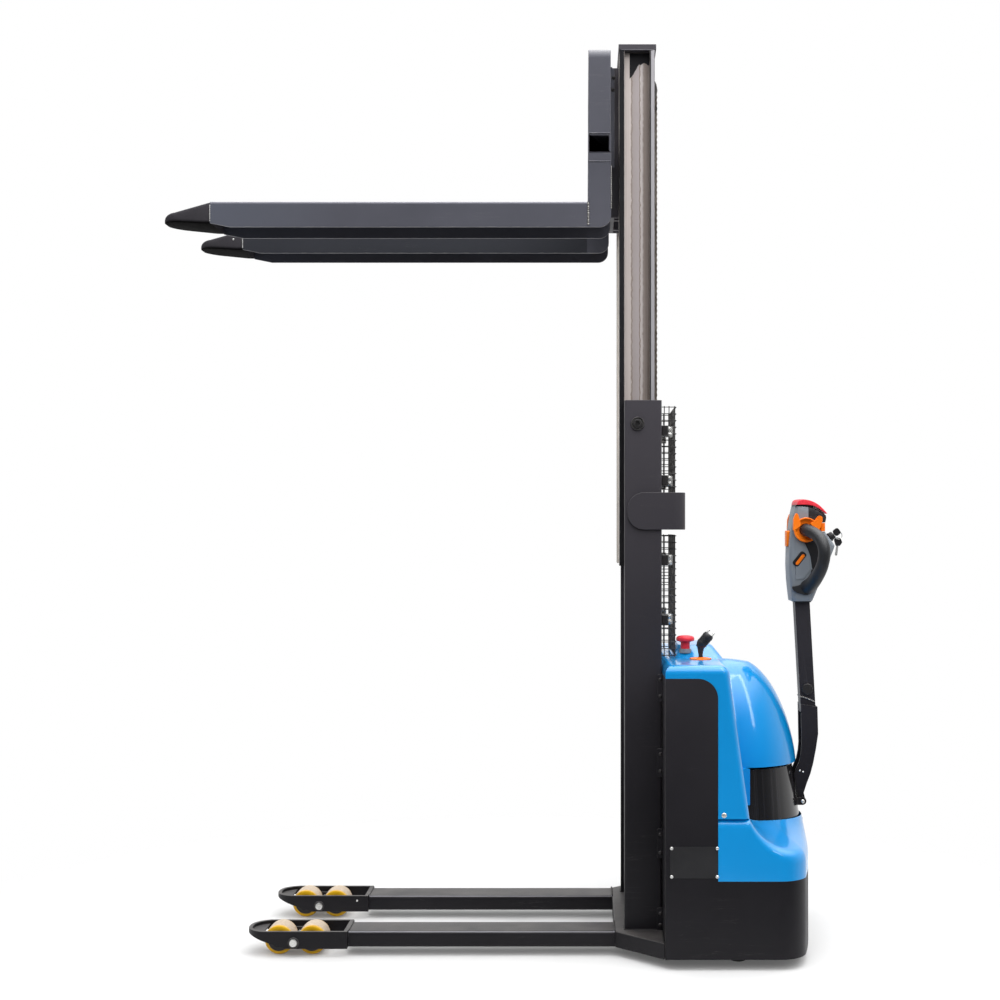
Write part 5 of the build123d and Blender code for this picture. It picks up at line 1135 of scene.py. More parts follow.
PLUG_PIN, PIN_APART = [(34, 2.6), (47, 2.6), (49, 1.6), (49.2, 0.01)], 8
pins = [turned(PLUG_PIN, PLUG_ELBOW + side * PLUG_AXES[0], PLUG_AXES, 16) for side in (-PIN_APART, PIN_APART)]
piece("lead_pins", joined(*pins), "zinc_steel", "chassis")

# %% [markdown]
# The sides carry plain fixings: a cover screw, a blank plate on four rivets, and straps that hold the cover
# to the mast rails. A domed head is a quarter of an ellipse spun about its screw.


# %% Side fixings
def dome_heads(places, radius, rise, face, sunk=0.6):
    """Domed fixings on a side of the truck at (x, z) places: (face - rise·sin a, radius·cos a) spun."""
    a = np.linspace(0, np.pi / 2, 6)
    dome = points_of(face - rise * np.sin(a), np.maximum(radius * np.cos(a), 0.01))
    profile = np.concatenate([[(face + sunk, radius)], dome])
    return joined(*(turned(profile, (x, 0, z), "y", 20) for x, z in places))


screw = middle_of("hood_screws")[[0, 2]]
cover_screws = dome_heads([screw], 7, 3, -half_width)
piece("cover_screws", both_sides(cover_screws), "zinc_steel", "chassis", ["hood_screws"])
PLATE_X, PLATE_Z, PLATE_RIM, PLATE_END = (428, 547), (246, 320), 4, 1.6
plate_x = (PLATE_X[0] - PLATE_RIM, PLATE_X[1] + PLATE_END)
blank = oblong(plate_x, (PLATE_Z[0] - PLATE_RIM, PLATE_Z[1] + PLATE_RIM), 3)
piece("blank_plate", prism(blank, "y", -half_width - 0.9, -half_width + 0.5), "black_plastic", "chassis",
      bevel=0.3)
rivets = [(x, z) for x in PLATE_X for z in PLATE_Z]
piece("plate_rivets", dome_heads(rivets, 4.6, 3.0, -half_width - 0.8), "zinc_steel", "chassis")
STRAP_BOLTS, STRAP_RIM = [(745, 701), (544, 498), (327, 277), (113, 82)], 15
rail_back, rail_face = mm_box("outer_rails")[1][:2]
strap_plans = [oblong((rail_back - 13, rail_back + 3), (low - STRAP_RIM, high + STRAP_RIM), 4)
               for high, low in STRAP_BOLTS]
straps = joined(*(prism(plan, "y", -rail_face - 3, -rail_face + 0.5) for plan in strap_plans))
piece("cover_straps", both_sides(straps), "black_paint", "chassis", bevel=0.8)
bolt_places = [(rail_back - 4, z) for pair in STRAP_BOLTS for z in pair]
strap_bolts = dome_heads(bolt_places, 5.5, 4.0, -rail_face - 2.8)
piece("cover_strap_bolts", both_sides(strap_bolts), "black_steel", "chassis")

# %% [markdown]
# The tiller head is an injection moulding in two halves. Its side outline was read from the photograph as
# two lines, front and rear, by height. Each row is a rounded rectangle between those lines, so the edges
# facing the operator are soft. Pockets are cut where the push buttons enter it.

# %% Tiller head
HEAD_FRONT = np.array([(951, 788), (1008, 782), (1050, 780), (1100, 781), (1149, 785.5), (1193, 792),
                       (1216.5, 797)])
HEAD_REAR = np.array([(948, 846.5), (977, 858), (1021, 876.5), (1068, 896), (1097, 907.5), (1105, 909.6),
                      (1112, 906), (1124, 897), (1140, 885), (1147, 881.5), (1158, 881), (1184, 886),
                      (1191, 885), (1198, 877), (1206, 865), (1212, 851), (1215, 838), (1216.5, 812)])
HEAD_HALF = mm_box("tiller_head")[1][1]
HEAD_FOOT, HEAD_TOP, HEAD_ROUND = 951.0, 1216.5, 14.0


def head_rows():
    """Rounded rectangles by height: x from front(z) to rear(z), y to ±half(z), drawn in at foot and top."""
    z = np.unique(np.concatenate([np.linspace(HEAD_FOOT, HEAD_TOP, 70), HEAD_FRONT[:, 0], HEAD_REAR[:, 0]]))
    front, rear = np.interp(z, *HEAD_FRONT.T), np.interp(z, *HEAD_REAR.T)
    half = HEAD_HALF - 0.3 - 5 * np.exp(-(z - HEAD_FOOT) / 9) - 4 * np.exp((z - HEAD_TOP) / 7)
    radius = np.minimum(HEAD_ROUND, 0.3 * (rear - front))[:, None]
    return at_heights(oblong((front, rear), (-half, half), radius), z)


BAR_TILT = np.radians(52)
BAR_SPOT = middle_of("side_button_left")[[0, 2]]


def tilted_bar(centre, length, width, radius):
    """A rounded bar outline in (x, z), turned about its centre by the tilt of the side buttons."""
    c, s = np.cos(BAR_TILT), np.sin(BAR_TILT)
    flat = oblong((-length / 2, length / 2), (-width / 2, width / 2), radius)
    return flat @ np.array([[c, s], [-s, c]]) + centre


front_low, front_high = mm_box("front_button")
rear_low, rear_high = mm_box("rear_button")
FRONT_FACE = oblong((-20, 20), (front_low[2], front_high[2]), 6)
REAR_PLAN = oblong((866, 881.5), (-HEAD_HALF, HEAD_HALF), 6)
SIDE_FACE = tilted_bar(BAR_SPOT, 36, 9, 4.3)
front_pocket = FRONT_FACE + 0.5 * np.sign(FRONT_FACE - FRONT_FACE.mean(0))
rear_pocket = box((861.5, -70, rear_low[2] - 1), (905, 70, rear_high[2] + 1))
bar_pockets = pair_of(prism(tilted_bar(BAR_SPOT, 37, 10, 4.8), "y", -70, -44))
head = piece("tiller_head_shell", skinned(head_rows()), "grey_plastic", "tiller", ["tiller_head"], angle=32,
             cuts=[prism(front_pocket, "x", 765, 797), rear_pocket, *bar_pockets])
print("tiller head", len(head.data.polygons), "faces")

# %% [markdown]
# Each flat side of the head carries thin mouldings: a raised panel and the foot of the grip. Two dark plates
# on each side are painted shade: one fills the hollow for the thumb and one frames the button's recess. They
# are outlines with round corners, given a little thickness. A rubber cuff closes the head round the tube of
# the arm, and the key switch is a turned barrel.

# %% Side panels, cuff and key switch of the head
RAISED = [(799, 1146), (796, 1090), (796, 1008), (822, 1012), (838, 1036), (835, 1074), (828, 1094),
          (816, 1119)]
HOLLOW_SHADE = [(820, 1119), (832, 1094), (839, 1075), (843.5, 1042), (852, 1030), (866, 1046), (880, 1082),
          (880, 1108), (868, 1124), (846, 1130)]
GRIP_FOOT = [(842, 1040), (840, 1027), (835, 1013), (827, 1003.5), (815, 996.5), (800, 992.5), (786.5, 990),
             (787, 984), (794, 976), (806, 971), (820, 967), (830, 966.5), (842, 976), (858, 987.5),
             (866, 1000), (861, 1022)]
KEY_PLACE, KEY_AXES = np.array([901, 0, 1128]), np.array([[0, 1, 0], [-0.6, 0, 0.8], [0.8, 0, 0.6]])
head_wall = HEAD_HALF - 0.6


def side_panels(outline, rise, radius):
    """A plate on each flat side of the head, from 4 mm inside the wall to rise outside it."""
    return both_sides(prism(rounded(outline, radius, 4), "y", -head_wall - rise, -head_wall + 4.0))


piece("head_side_panels", side_panels(RAISED, 2.4, 5), "grey_plastic", "tiller", bevel=1.0, cuts=bar_pockets)
# A dark plate in the thumb hollow is painted shade.
piece("head_hollow_shade_plates", side_panels(HOLLOW_SHADE, 0.9, 6), "black_plastic", "tiller", bevel=0.4)
piece("grip_feet", side_panels(GRIP_FOOT, 8.5, 1.5), "black_rubber", "tiller", bevel=4.0, segments=4)
# A dark plate round each side button's recess is painted shade.
button_shade_plate = tilted_bar(BAR_SPOT + (-2, 2), 46, 20, 7)
piece("side_button_shade_plates", side_panels(button_shade_plate, 3.0, 0.01), "black_plastic", "tiller", bevel=0.5,
      cuts=bar_pockets)
cuff = oblong((796, 846), (-28, 28), 7)
piece("tube_cuff", prism(cuff, "z", 944, 960), "black_rubber", "tiller", bevel=1.5)
SWITCH = [(-16, 12), (-2, 12), (0, 13.5), (3, 13.5), (4, 12), (12, 11.4), (14, 10), (14.2, 6.5), (11, 6),
          (11, 0.01)]
piece("key_switch", turned(SWITCH, KEY_PLACE, KEY_AXES, 32), "black_plastic", "tiller")
print("head panels, cuff and switch made")

# %% [markdown]
# Around the head sit the parts a hand finds: the loop grips, the orange thumb levers that wrap the grip
# roots, the push buttons, the red belly pad on top and the key. Grips are a round carried along a curve.

# %% Grips, levers and buttons
LEVER_X, LEVER_Z = 825.0, 1150.0
GRIP_R, GRIP_SWELL, SWELL_FROM = 17.2, 4.5, 0.60
ROUTE = np.array([(0, -8, 0), (0, 12, 0), (4, 30, -2), (20, 54, -10), (34, 80, -28), (40, 93, -52),
                  (39, 94, -78), (34, 84, -104), (26, 62, -126), (18, 34, -146), (10, 8, -158),
                  (4, -6, -163)])


def grip():
    """A round along a B-spline, swelling over the last part of its run, where it meets the head."""
    line = flowing(ROUTE) * (1, -1, 1) + (LEVER_X, -54, LEVER_Z)
    share = np.linspace(0, 1, len(line))
    radius = GRIP_R + GRIP_SWELL * np.clip((share - SWELL_FROM) / (1 - SWELL_FROM), 0, 1)
    return swept(line, disc(1.0, 28)[None] * radius[:, None, None], (1, 0, 0.3))


piece("loop_grips", both_sides(grip()), "black_rubber", "tiller", ["hand_grips"])
CUP = np.array([(56, 18), (56, 31), (62, 34), (69, 35), (71.5, 34.2), (72, 32), (68, 29), (63, 25),
                (60.5, 21), (60, 18)])
HORN_FRONT = [(-37, -4), (-36, 30), (-31, 44), (-26, 48), (-22, 42), (-17, 24), (-14, 12)]
HORN_REAR = [(10, 18), (24, 26), (33, 38), (40, 40), (46, 36), (46, 26), (41, 8), (34, -4), (22, -2)]
horns = [prism(rounded(outline, 2.2, 3) + (LEVER_X, LEVER_Z), "y", -72, -57.5)
         for outline in (HORN_FRONT, HORN_REAR)]
cup = ring(CUP * (-1, 1), (LEVER_X, 0, LEVER_Z))
bore = prism(disc(20.5, 40) + (LEVER_X, LEVER_Z), "y", -80, -50)
piece("thumb_cups", both_sides(cup), "orange_plastic", "thumb_levers", ["thumb_levers"], bevel=0.6)
piece("thumb_horns", both_sides(joined(*horns)), "orange_plastic", "thumb_levers", bevel=2.5, segments=3,
      cuts=pair_of(bore))
front_press = prism(FRONT_FACE, "x", front_low[0] + 3, front_high[0] + 4)
piece("front_press", front_press, "orange_plastic", "front_button", ["front_button"], bevel=1.6)
rear_press = prism(REAR_PLAN, "z", rear_low[2], rear_high[2])
piece("rear_press", rear_press, "orange_plastic", "rear_button", ["rear_button"], bevel=1.4)
for side, ends in (("left", (-HEAD_HALF - 3.4, -49)), ("right", (49, HEAD_HALF + 3.4))):
    node = "side_button_" + side
    piece("side_press_" + side, prism(SIDE_FACE, "y", *ends), "orange_plastic", node, [node], bevel=1.4)

# %% [markdown]
# The belly pad reverses the truck when it is pushed. It stands on a stem. A black block fills the gap
# between pad and head as painted shade, and it rides on the tiller.

# %% Belly pad and the shade block under it
PAD_FOOT = mm_box("reverse_button")[0][2]
PAD_UPPER = np.array([(794, 1221), (795.5, 1229), (799, 1235), (808, 1237.5), (822, 1237.3), (838, 1234.8),
                      (854, 1229), (868, 1221), (881, 1210), (893.5, 1196.5)])
PAD_LOWER = np.array([(796, 1221.4), (799, 1221.4), (808, 1221.8), (820, 1221.8), (834, 1221.3), (848, 1219),
                      (862, 1213.8), (874, 1207), (884, 1200.4), (892, 1195.9)])
PAD_CENTRE, PAD_REACH, PAD_BOW, RIM_SHARE = 844, 50, 8, 0.45


def pad_rows():
    """The belly pad: its side outline at each width y, thinned at the rims by (1 - |y/half|^4)^(1/4)."""
    y = HEAD_HALF * np.sin(np.linspace(-np.pi / 2, np.pi / 2, 25))
    full = (1 - np.abs(y / HEAD_HALF) ** 4) ** 0.25
    upper, lower = flowing(PAD_UPPER, 4), flowing(PAD_LOWER, 4)
    middle = (upper + lower) / 2
    top = middle + (upper - middle) * (RIM_SHARE + (1 - RIM_SHARE) * full[:, None, None])
    under = np.broadcast_to(lower, top.shape)
    x, z = np.moveaxis(np.concatenate([top, under[:, ::-1]], axis=1), -1, 0)
    x = x + PAD_BOW * (PAD_CENTRE - x) / PAD_REACH * (y[:, None] / HEAD_HALF) ** 2
    return points_of(x, y[:, None], z)


stem = turned([(PAD_FOOT + 1, 9), (1222, 9)], (838, 0, 0), "z", 24)
pad = joined(skinned(pad_rows()), stem)
piece("belly_pad", pad, "red_plastic", "reverse_button", ["reverse_button"], angle=28)
# A black block under the pad is painted shade for the gap between pad and head.
GAP_BLOCK_FOOT, GAP_BLOCK_KEEP = 1208.0, 0.62
gap_block_side = np.concatenate([PAD_LOWER[1:6] - (0, 0.4), [(848, GAP_BLOCK_FOOT), (799, GAP_BLOCK_FOOT)]])
stem_hole = box((824, -14, 1190), (852, 14, 1230))
gap_block = prism(gap_block_side, "y", -HEAD_HALF + 8, HEAD_HALF - 8)
pad_gap_shade = piece("pad_gap_shade", gap_block, "black_rubber", "tiller", cuts=[stem_hole])
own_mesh(pad_gap_shade)

# %% [markdown]
# The key stands in its switch with a spare on a split ring. The bows are flat plates with round corners, and
# the ring is a wire carried round a circle that leans out of the plane of the keys.

# %% Keys
KEY_FLAT = np.array([KEY_AXES[2], KEY_AXES[1], (0, 1, 0)])
SPARE_BOW = [(915, 1122), (922, 1129), (934, 1126), (939, 1114), (932, 1104), (920, 1104)]
SPARE_BLADE = [(922, 1105), (928, 1105), (924.5, 1078), (921, 1075), (917.5, 1079)]
bow = moved(prism(oblong((17, 36), (-10, 10), 6), KEY_FLAT, -2.6, 2.6), KEY_PLACE)
spare = prism(rounded(SPARE_BOW, 4), "y", 3.2, 8.0)
piece("key_bows", joined(bow, spare), "black_plastic", "ignition_key", ["ignition_key"], bevel=1.0)
shank = moved(prism(oblong((11.5, 18), (-3.5, 3.5)), KEY_FLAT, -1.2, 1.2), KEY_PLACE)
blade = prism(SPARE_BLADE, "y", 4.6, 6.6)
t = np.linspace(0, 2 * np.pi, 40)
key_ring = points_of(928 + 10.5 * np.cos(t), 4.5 * np.cos(t) + 3, 1134 + 10.5 * np.sin(t))
piece("key_metal", joined(shank, blade, swept(key_ring, disc(1.2, 8), (0.2, 1, 0.1))), "zinc_steel",
      "ignition_key")

# %% [markdown]
# The arm is a bent tube welded to a boss, and it turns on a pin through the steering head. Its caps, weld and
# screws are small, but they show how the arm is put together.

# %% Arm fixings
PIVOT_PIN, PIVOT_FACE, BOSS = (818, 382), -51.5, (834, 0, 697)
arm_side = mm_box("tiller_arm")[1][1]
BOSS_CAP = np.array([(7, 15), (5.2, 15.6), (4.2, 14.6), (3.6, 9), (3.4, 0.01)])
piece("boss_caps", both_sides(turned(BOSS_CAP - (arm_side, 0), BOSS)), "black_steel", "tiller")
arm_seam = flowing([(813, -25.6, 676), (826, -25.8, 674), (840, -25.8, 668), (856, -25.6, 661)], 6)
piece("arm_welds", both_sides(bead(arm_seam, 2.0)), "roller_steel", "tiller")
arm_screws = dome_heads([(812, 467), (820.8, 462.8)], 2.8, 1.8, -arm_side)
piece("arm_screws", both_sides(arm_screws), "zinc_steel", "tiller")
pin_heads = dome_heads([PIVOT_PIN], 5.4, 2.5, PIVOT_FACE)
piece("pivot_pin_heads", both_sides(pin_heads), "zinc_steel", "steer_head")
print("arm fixings made")

# %% [markdown]
# Lift chain is leaf chain: pairs of figure-eight plates, inner and outer by turns, on riveted pins. One
# plate is drawn once and copied down the strand by adding an array of places. The strands shorten and
# lengthen as the mast moves; here the rear strands ride on the chassis, the run over the pulleys on the
# inner mast, and the front strands are given no body.

# %% Lift chains
CHAIN_PITCH, CHAIN_Y, LINK_END, LINK_WAIST = 15.875, 70.0, 6.6, 5.0
PULLEY_X, PULLEY_Z = middle_of("chain_pulleys")[[0, 2]]
REAR_X, FRONT_X = middle_of("lift_chain_rear")[0], middle_of("lift_chain_front")[0]
rear_foot, front_foot = mm_box("lift_chain_rear")[0][2], mm_box("lift_chain_front")[0][2]


def link_outline(steps=5):
    """A plate's outline in (across, along): two half circles joined by a waist."""
    t = np.linspace(0, np.pi, steps)
    top = points_of(LINK_END * np.cos(t), CHAIN_PITCH / 2 + LINK_END * np.sin(t))
    return np.concatenate([top, [(-LINK_WAIST, 0)], -top, [(LINK_WAIST, 0)]])


def copied(shape, places, turns=0.0):
    """Copies of a shape: each one turned about Y by its angle, then shifted to its place."""
    points, faces = shape
    places, turns = np.asarray(places, float), np.broadcast_to(turns, len(places))
    c, s = np.cos(turns), np.sin(turns)
    turn = np.stack([points_of(c, 0, s), points_of(0 * c, 1, 0), points_of(-s, 0, c)], axis=-2)
    every = np.einsum("nij,pj->npi", turn, points) + places[:, None]
    numbers = [[k + n * len(points) for k in face] for n in range(len(places)) for face in faces]
    return every.reshape(-1, 3), numbers


def strand(places, turns=0.0):
    """Alternate outer and inner plate pairs at the places, with a pin through every plate's end."""
    outline = link_outline()
    outer = both_sides(prism(outline, "y", -5, -3))
    inner = both_sides(prism(outline, "y", -2.8, -0.3))
    pin = moved(prism(disc(2.6, 8), "y", -5.6, 5.6), (0, 0, CHAIN_PITCH / 2))
    turns = np.broadcast_to(turns, len(places))
    return joined(copied(outer, places[::2], turns[::2]), copied(inner, places[1::2], turns[1::2]),
                  copied(pin, places, turns))


def upright(x, low, high):
    """Places of links from low to high, at the even spacing nearest to one pitch."""
    count = round((high - low) / CHAIN_PITCH)
    return points_of(x, -CHAIN_Y, low + (high - low) * (np.arange(count) + 0.5) / count)


run_top = PULLEY_Z - 3
rear_top = run_top - 3 * CHAIN_PITCH
rear_strands = both_sides(strand(upright(REAR_X, rear_foot, rear_top)))
rear = piece("rear_strands", rear_strands, "chain_steel", "chassis", ["lift_chain_rear"], angle=50)
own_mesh(rear)
front_strands = both_sides(strand(upright(FRONT_X, front_foot, run_top)))
front = piece("front_strands", front_strands, "chain_steel", None, ["lift_chain_front"], angle=50)
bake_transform(front)
turns = np.radians(np.linspace(10, 170, 9))
wrap_radius = PULLEY_X - FRONT_X
wrap = points_of(PULLEY_X + wrap_radius * np.cos(turns), -CHAIN_Y, PULLEY_Z + wrap_radius * np.sin(turns))
over = joined(strand(wrap, -turns), strand(upright(REAR_X, rear_top, run_top)))
piece("chain_over_pulleys", both_sides(over), "chain_steel", "inner_mast", ["lift_chain_wraps"], angle=50)
print("chain links", len(rear.data.polygons) + len(front.data.polygons), "faces")

# %% [markdown]
# The finger guard behind the mast is welded wire mesh folded to a shallow tray. Each wire is a round carried
# along its own line. The rows are one wire copied up the mast.

# %% Wire guard
guard_low, guard_high = mm_box("mesh_guard")
WIRE_R, ROW_PITCH, COLUMN_PITCH, WIRE_BEND, GUARD_SPLIT = 1.3, 18.3, 44.0, 8.0, (1140, 1250)
WIRE_DEPTH = 2 * WIRE_R - 0.4
guard_front, guard_back, guard_side = guard_low[0] + 2, guard_high[0] - WIRE_R, guard_high[1] - WIRE_R
ends = [(guard_front, -guard_side, 0), (guard_back, -guard_side, 0), (guard_back, guard_side, 0),
        (guard_front, guard_side, 0)]
hoop_line = np.concatenate([ends[:1], bend(*ends[:3], WIRE_BEND, 4), bend(*ends[1:], WIRE_BEND, 4), ends[3:]])
hoop = swept(hoop_line, disc(WIRE_R, 6), (0, 0, 1))


def mesh_panel(low, high):
    """Rows of folded wire from low to high, and uprights at the sides and across the back."""
    rows = np.arange(low + WIRE_R, high, ROW_PITCH)
    back = points_of(guard_back - WIRE_DEPTH, np.arange(-guard_side + 26, guard_side - 20, COLUMN_PITCH))
    side = [(x, sign * (guard_side - WIRE_DEPTH)) for x in (421, 434, guard_back - 4) for sign in (-1, 1)]
    stands = np.concatenate([back, side])
    upright_wire = prism(disc(WIRE_R, 6), "z", low - 3, rows[-1] + 3)
    return joined(copied(hoop, points_of(0, 0, rows)), copied(upright_wire, points_of(*stands.T, 0)))


panels = [mesh_panel(guard_low[2] + 3, GUARD_SPLIT[0]), mesh_panel(GUARD_SPLIT[1], guard_high[2] - 3)]
guard = piece("wire_guard", joined(*panels), "black_steel", "chassis", ["mesh_guard"], angle=60)
print("guard", len(guard.data.polygons), "faces")

# %% [markdown]
# Clamp bars bolted to the rails hold the guard at four levels on each side. One clamp with its plate and its
# two bolts is drawn at the floor and copied up to the levels.

# %% Guard clamps
CLAMP_LEVELS = points_of(0.0, 0.0, np.array([905, 1068, 1285, 1420]))
CLAMP_BOLT_X, CLAMP_FACE, BOLT_APART = 434, -166, 7.4
clamp_low, clamp_high = mm_box("guard_clamps")
clamp = prism(oblong((clamp_low[0], clamp_high[0] + 2), (-230, -159), 3), "z", -14, 14)
piece("guard_straps", both_sides(copied(clamp, CLAMP_LEVELS)), "black_steel", "chassis", ["guard_clamps"],
      bevel=1.5)
CLAMP_BOLT = np.array([(0, 6.8), (1.6, 6.8), (2.0, 6.2), (2.0, 4.2), (5.2, 4.2), (5.8, 3.4), (5.8, 0.01)])
bolt = turned(CLAMP_BOLT * (-1, 1) + (CLAMP_FACE, 0), (CLAMP_BOLT_X, 0, 0), "y", 16)
stud = prism(disc(3.2, 10) + (CLAMP_BOLT_X, 0), "y", CLAMP_FACE - 0.5, CLAMP_FACE + 12)
bolts = [moved(shape, (0, 0, z)) for shape in (bolt, stud) for z in (-BOLT_APART, BOLT_APART)]
plate = prism(oblong((425, 443), (-14.5, 14.5), 3), "y", CLAMP_FACE - 0.2, CLAMP_FACE + 2.2)
clamp_bolts = copied(joined(*bolts, plate), CLAMP_LEVELS)
piece("guard_bolts", both_sides(clamp_bolts), "zinc_steel", "chassis", angle=40)
print("clamps at", CLAMP_LEVELS[:, 2])

# %% [markdown]
# Large socket bolts carry the outer rollers, and their heads show on the rails. A socket is a hexagon cut
# into a turned cap. Short weld beads show where the top plate, the carriage beam and the fork heels are
# joined, and small screws where the nose and the carriage are held.

# %% Mast fixings and welds
cap_x, cap_z = middle_of("outer_roller_pins")[[0, 2]]
cap_out = mm_box("outer_roller_pins")[1][1]
ROLLER_CAP = np.array([(74, 12), (9, 12), (9, 18.6), (1.6, 18.6), (0.2, 17.4), (0.2, 15.6), (3.0, 15.0),
                       (3.0, 13.6), (0.8, 12.8), (0, 11.6), (0, 0.01)])
caps = turned(ROLLER_CAP - (cap_out, 0), (cap_x, 0, cap_z), "y", 44)
hexagon = prism(disc(7.6, 6) + (cap_x, cap_z), "y", -cap_out - 2, -cap_out + 5)
piece("roller_cap_bolts", both_sides(caps), "black_steel", "chassis", ["outer_roller_pins"], bevel=0.4,
      cuts=pair_of(hexagon))


def level_bead(x, y, z, radius):
    """A weld bead along X from x[0] to x[1]."""
    return bead([(x[0], y, z), (x[1], y, z)], radius)


def upright_bead(x, y, z, radius):
    """A weld bead along Z from z[0] to z[1]."""
    return bead([(x, y, z[0]), (x, y, z[1])], radius)


top_low, top_high = mm_box("inner_top_plate")
rail_top = mm_box("inner_rails")[1][2]
# The top plate's weld is black-painted steel; giving it the lighter grey paint is a painted highlight.
under_plate = level_bead((top_low[0] + 8, top_high[0] - 8), -top_high[1] - 0.2, rail_top - 0.6, 1.1)
piece("top_plate_welds_painted_light", both_sides(under_plate), "grey_paint", "inner_mast")
beam_low, beam_high = mm_box("carriage_beam")
beam_face, plate_half = -beam_high[1] - 0.2, mm_box("carriage_frame")[1][1]
heel_bead = upright_bead(beam_high[0] + 0.2, -beam_high[1] + 1.0, (2012, 2128), 1.8)
blade_bead = upright_bead(beam_low[0] + 1, beam_face, (FORK_LEVEL - 62, FORK_LEVEL), 2.6)
piece("carriage_welds", both_sides(joined(heel_bead, blade_bead)), "roller_steel", "carriage")
beam_beads = [level_bead((beam_low[0] + 2, beam_high[0] - 2), beam_face, z, 1.7)
              for z in (beam_low[2] - 22, beam_high[2] + 0.4)]
piece("beam_welds", both_sides(joined(*beam_beads)), "grey_paint", "carriage")
EDGE_STRIP = [(0.5, beam_low[2] - 8), (11.5, beam_low[2] - 8), (11.5, 2419), (4, 2429), (0.5, 2429)]
strip = prism(np.array(EDGE_STRIP) + (beam_high[0], 0), "y", -plate_half - 1.2, -plate_half + 0.5)
piece("carriage_edge_strips", both_sides(strip), "grey_paint", "carriage", bevel=0.5)
nose_screws = dome_heads([(TIP_X + 109, 2003)], 3.0, 1.8, -fork_middle - 80.3, 1.2)
piece("nose_screws", both_sides(nose_screws), "zinc_steel", "carriage")
carriage_bolts = dome_heads([(281, 2399), (278.5, 2366)], 5.6, 3.2, -plate_half - 1)
piece("carriage_bolts", both_sides(carriage_bolts), "black_steel", "carriage")

# %% [markdown]
# Load wheels are polyurethane cast on steel hubs with a bearing pressed into each side. The section is drawn
# once from bore to tread and turned about the axle. The running band keeps a number of its own in the mesh,
# so that the finish can show it paler where it has rolled.

# %% Load wheels
TYRE_EDGE = np.array([(3.5, 0.56), (1.2, 0.60), (0, 0.66), (0, 0.88), (1.2, 0.94), (4.5, 0.984), (9, 0.995),
                      (16, 1.0)])
HUB_FACE = [(4.5, 10.6), (4.5, 12.5), (3.2, 13), (3.2, 19.5), (5, 20.0)]
BORE_INSET, BORE_SHARE, HUB_SHARE, BAND_FROM, BAND_RUN = 5, 0.54, 0.55, 0.975, 0.02


def wheel_box(node):
    """Centre, half width and radius of a wheel node."""
    low, high = mm_box(node)
    return (low + high) / 2, *((high - low)[1:] / 2)


def through(profile):
    """A half section followed by its mirror image along the axle."""
    return np.concatenate([profile, profile[::-1] * (-1, 1)])


WHEELS = {side: [f"load_wheel_{side}_{end}" for end in ("front", "rear")] for side in ("left", "right")}
for node in WHEELS["left"] + WHEELS["right"]:
    middle, half, radius = wheel_box(node)
    edge = TYRE_EDGE * (1, radius) - (half, 0)
    bore = [(half - BORE_INSET, radius * BORE_SHARE), (-half + BORE_INSET, radius * BORE_SHARE)]
    tyre = piece(node + "_tyre", ring(np.concatenate([through(edge), bore]), middle, "y", 64),
                 "yellow_polyurethane", node, [node], angle=50)
    points = np.empty(len(tyre.data.vertices) * 3)
    tyre.data.vertices.foreach_get("co", points)
    reach = np.hypot(*(points.reshape(-1, 3)[:, [0, 2]] - middle[[0, 2]] * MM).T) / (radius * MM)
    band = np.clip((reach - BAND_FROM) / BAND_RUN, 0, 1)
    tyre.data.attributes.new("tread", "FLOAT", "POINT").data.foreach_set("value", band)
    hub = np.array(HUB_FACE + [(5, radius * HUB_SHARE)]) - (half, 0)
    piece(node + "_hub", ring(through(hub), middle), "black_steel", node, angle=40)

# %% [markdown]
# Two load wheels share a bogie that rocks on a pin, so both stay on the floor. Its cheeks follow the lower
# half of both wheels at a smaller radius, and the pin's heads and collars are turned.

# %% Bogie cheeks and pins
CHEEK_SHARE, CHEEK_RISE, CHEEK_GAP, CHEEK_THICKNESS = 0.74, 8, 0.8, 3.0
half_turn = np.linspace(np.pi, 2 * np.pi, 17)
for side, nodes in WHEELS.items():
    wheels = [wheel_box(node) for node in nodes]
    arcs = [points_of(m[0] + CHEEK_SHARE * r * np.cos(half_turn), m[2] + CHEEK_SHARE * r * np.sin(half_turn))
            for m, _, r in wheels]
    outline = np.concatenate([*arcs, [arcs[1][-1] + (0, CHEEK_RISE), arcs[0][0] + (0, CHEEK_RISE)]])
    centre, half, _ = wheels[0]
    face = half + CHEEK_GAP
    cheeks = [prism(outline, "y", centre[1] + inner, centre[1] + inner + CHEEK_THICKNESS)
              for inner in (-face - CHEEK_THICKNESS, face)]
    piece(f"bogie_cheeks_{side}", joined(*cheeks), "black_steel", "bogie_" + side, bevel=0.6)
pin_x, pin_z = middle_of("bogie_pins")[[0, 2]]
PIN_R, HEAD_HEIGHT = 9, 6
pin_outer, pin_inner = mm_box("bogie_pins")[1][1] - HEAD_HEIGHT, 130.0 + HEAD_HEIGHT
PIN_HEAD = np.array([(-2, 10.2), (4.6, 10.2), (5.6, 9.6), (6, 8.4), (6, 5.6), (5.2, 5.2), (5.2, 3.6),
                     (6, 3.2), (6, 0.01)])
pin_shank = [(pin_inner, PIN_R), (pin_outer, PIN_R)]
pin_heads = PIN_HEAD[::-1] * (-1, 1) + (pin_inner, 0), PIN_HEAD + (pin_outer, 0)
pin_profile = np.concatenate([pin_heads[0], pin_shank, pin_heads[1]]) * (-1, 1)
piece("bogie_pin_heads", both_sides(turned(pin_profile, (pin_x, 0, pin_z))), "zinc_steel", "chassis",
      ["bogie_pins"], angle=35)
PIN_COLLAR = np.array([(-0.5, 10.4), (-0.5, 15), (2.2, 15), (3.4, 14), (3.8, 12.6), (3.0, 10.6)])
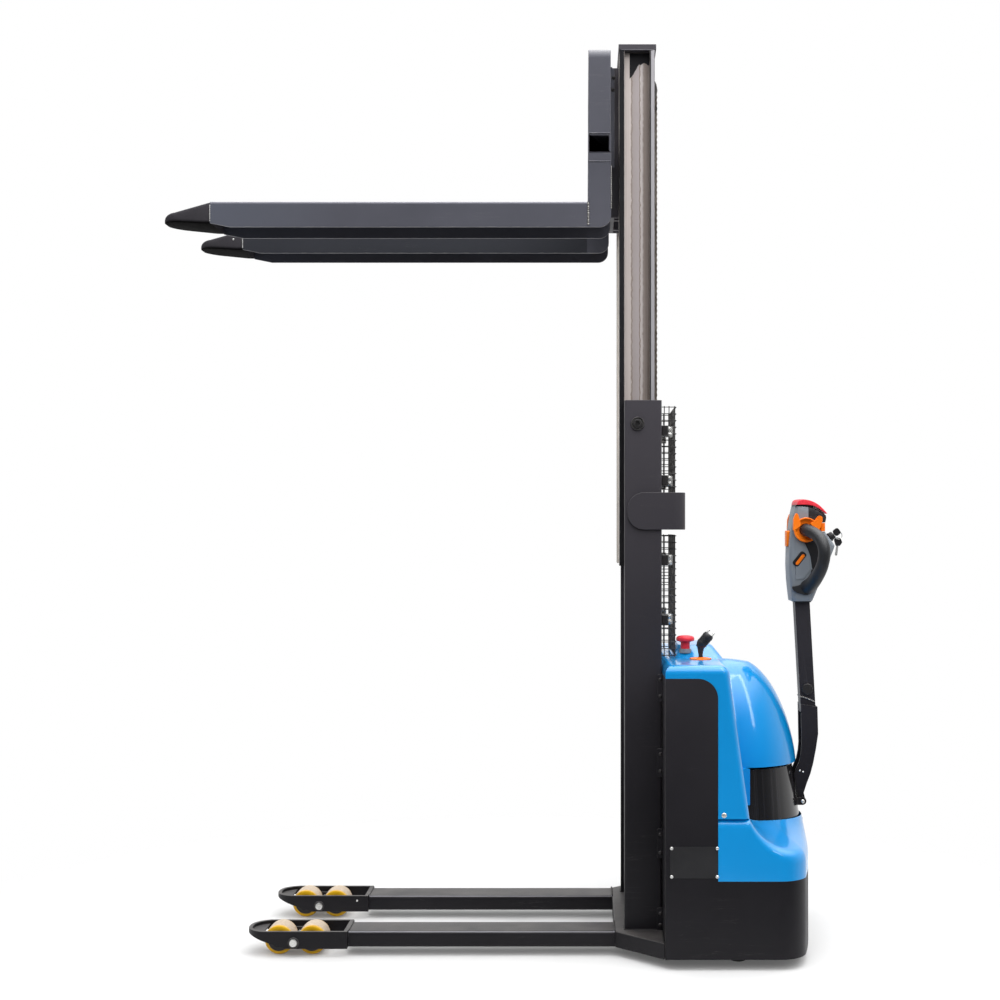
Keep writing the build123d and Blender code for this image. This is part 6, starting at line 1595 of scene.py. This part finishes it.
collars = [ring(PIN_COLLAR * (sign, 1) - (seat, 0), (pin_x, 0, pin_z))
           for sign, seat in ((-1, pin_outer), (1, pin_inner))]
piece("bogie_pin_collars", both_sides(joined(*collars)), "black_steel", "chassis", angle=35)
print("bogie pins at", pin_x, pin_z)

# %% [markdown]
# Weld beads tell how the frame was put together: legs to the base plate, wheel forks to the legs, rails to
# the base. A bead is a round carried along the joint, swelling a little with every dab of the torch.

# %% Frame welds and small screws
base_low, base_high = mm_box("base_frame")
outer_low, outer_high = mm_box("outer_rails")
LEG_IN, LEG_OUT, LEG_TOP, LEG_FOOT, NOSE_JOINT = 149.0, 255.0, 68.0, 24.0, -437.0
RAIL_IN, RAIL_OUT = 197, 240.5


def leg_joint(x, proud):
    """The line of a weld over a leg and down its outer side, proud mm off the steel."""
    top = LEG_TOP + proud
    return [(x, -LEG_IN, top), (x, -LEG_OUT, top), (x, -LEG_OUT - proud, LEG_FOOT + 4)]


rail_joint = [(outer_low[0] - 0.5, -RAIL_IN, base_high[2]), (outer_low[0] - 0.5, -RAIL_OUT, base_high[2]),
              (outer_high[0] - 4, -RAIL_OUT, base_high[2])]
joints = (leg_joint(base_low[0], 0.3), leg_joint(NOSE_JOINT, 0.4), rail_joint)
frame_beads = joined(*(bead(line[i:i + 2]) for line in joints for i in (0, 1)))
piece("frame_welds", both_sides(frame_beads), "black_paint", "chassis")
piece("leg_screws", both_sides(dome_heads([(-470, 56)], 3.0, 1.6, 136)), "zinc_steel", "chassis")
# Dark plates inside the nose fronts are painted shade: they hide the lit floor where shade falls.
LEG_MIDDLE = (LEG_IN + LEG_OUT) / 2 + 1
NOSE_SHADE_HALF = np.array([(-706, -18), (-696, -40), (-684, -54), (-667, -58)])
nose_shade_web = np.concatenate([NOSE_SHADE_HALF, NOSE_SHADE_HALF[::-1] * (1, -1)]) - (0, LEG_MIDDLE)
piece("nose_shade_webs", both_sides(prism(nose_shade_web, "z", 58.5, 62)), "black_paint", "chassis", bevel=0.6)
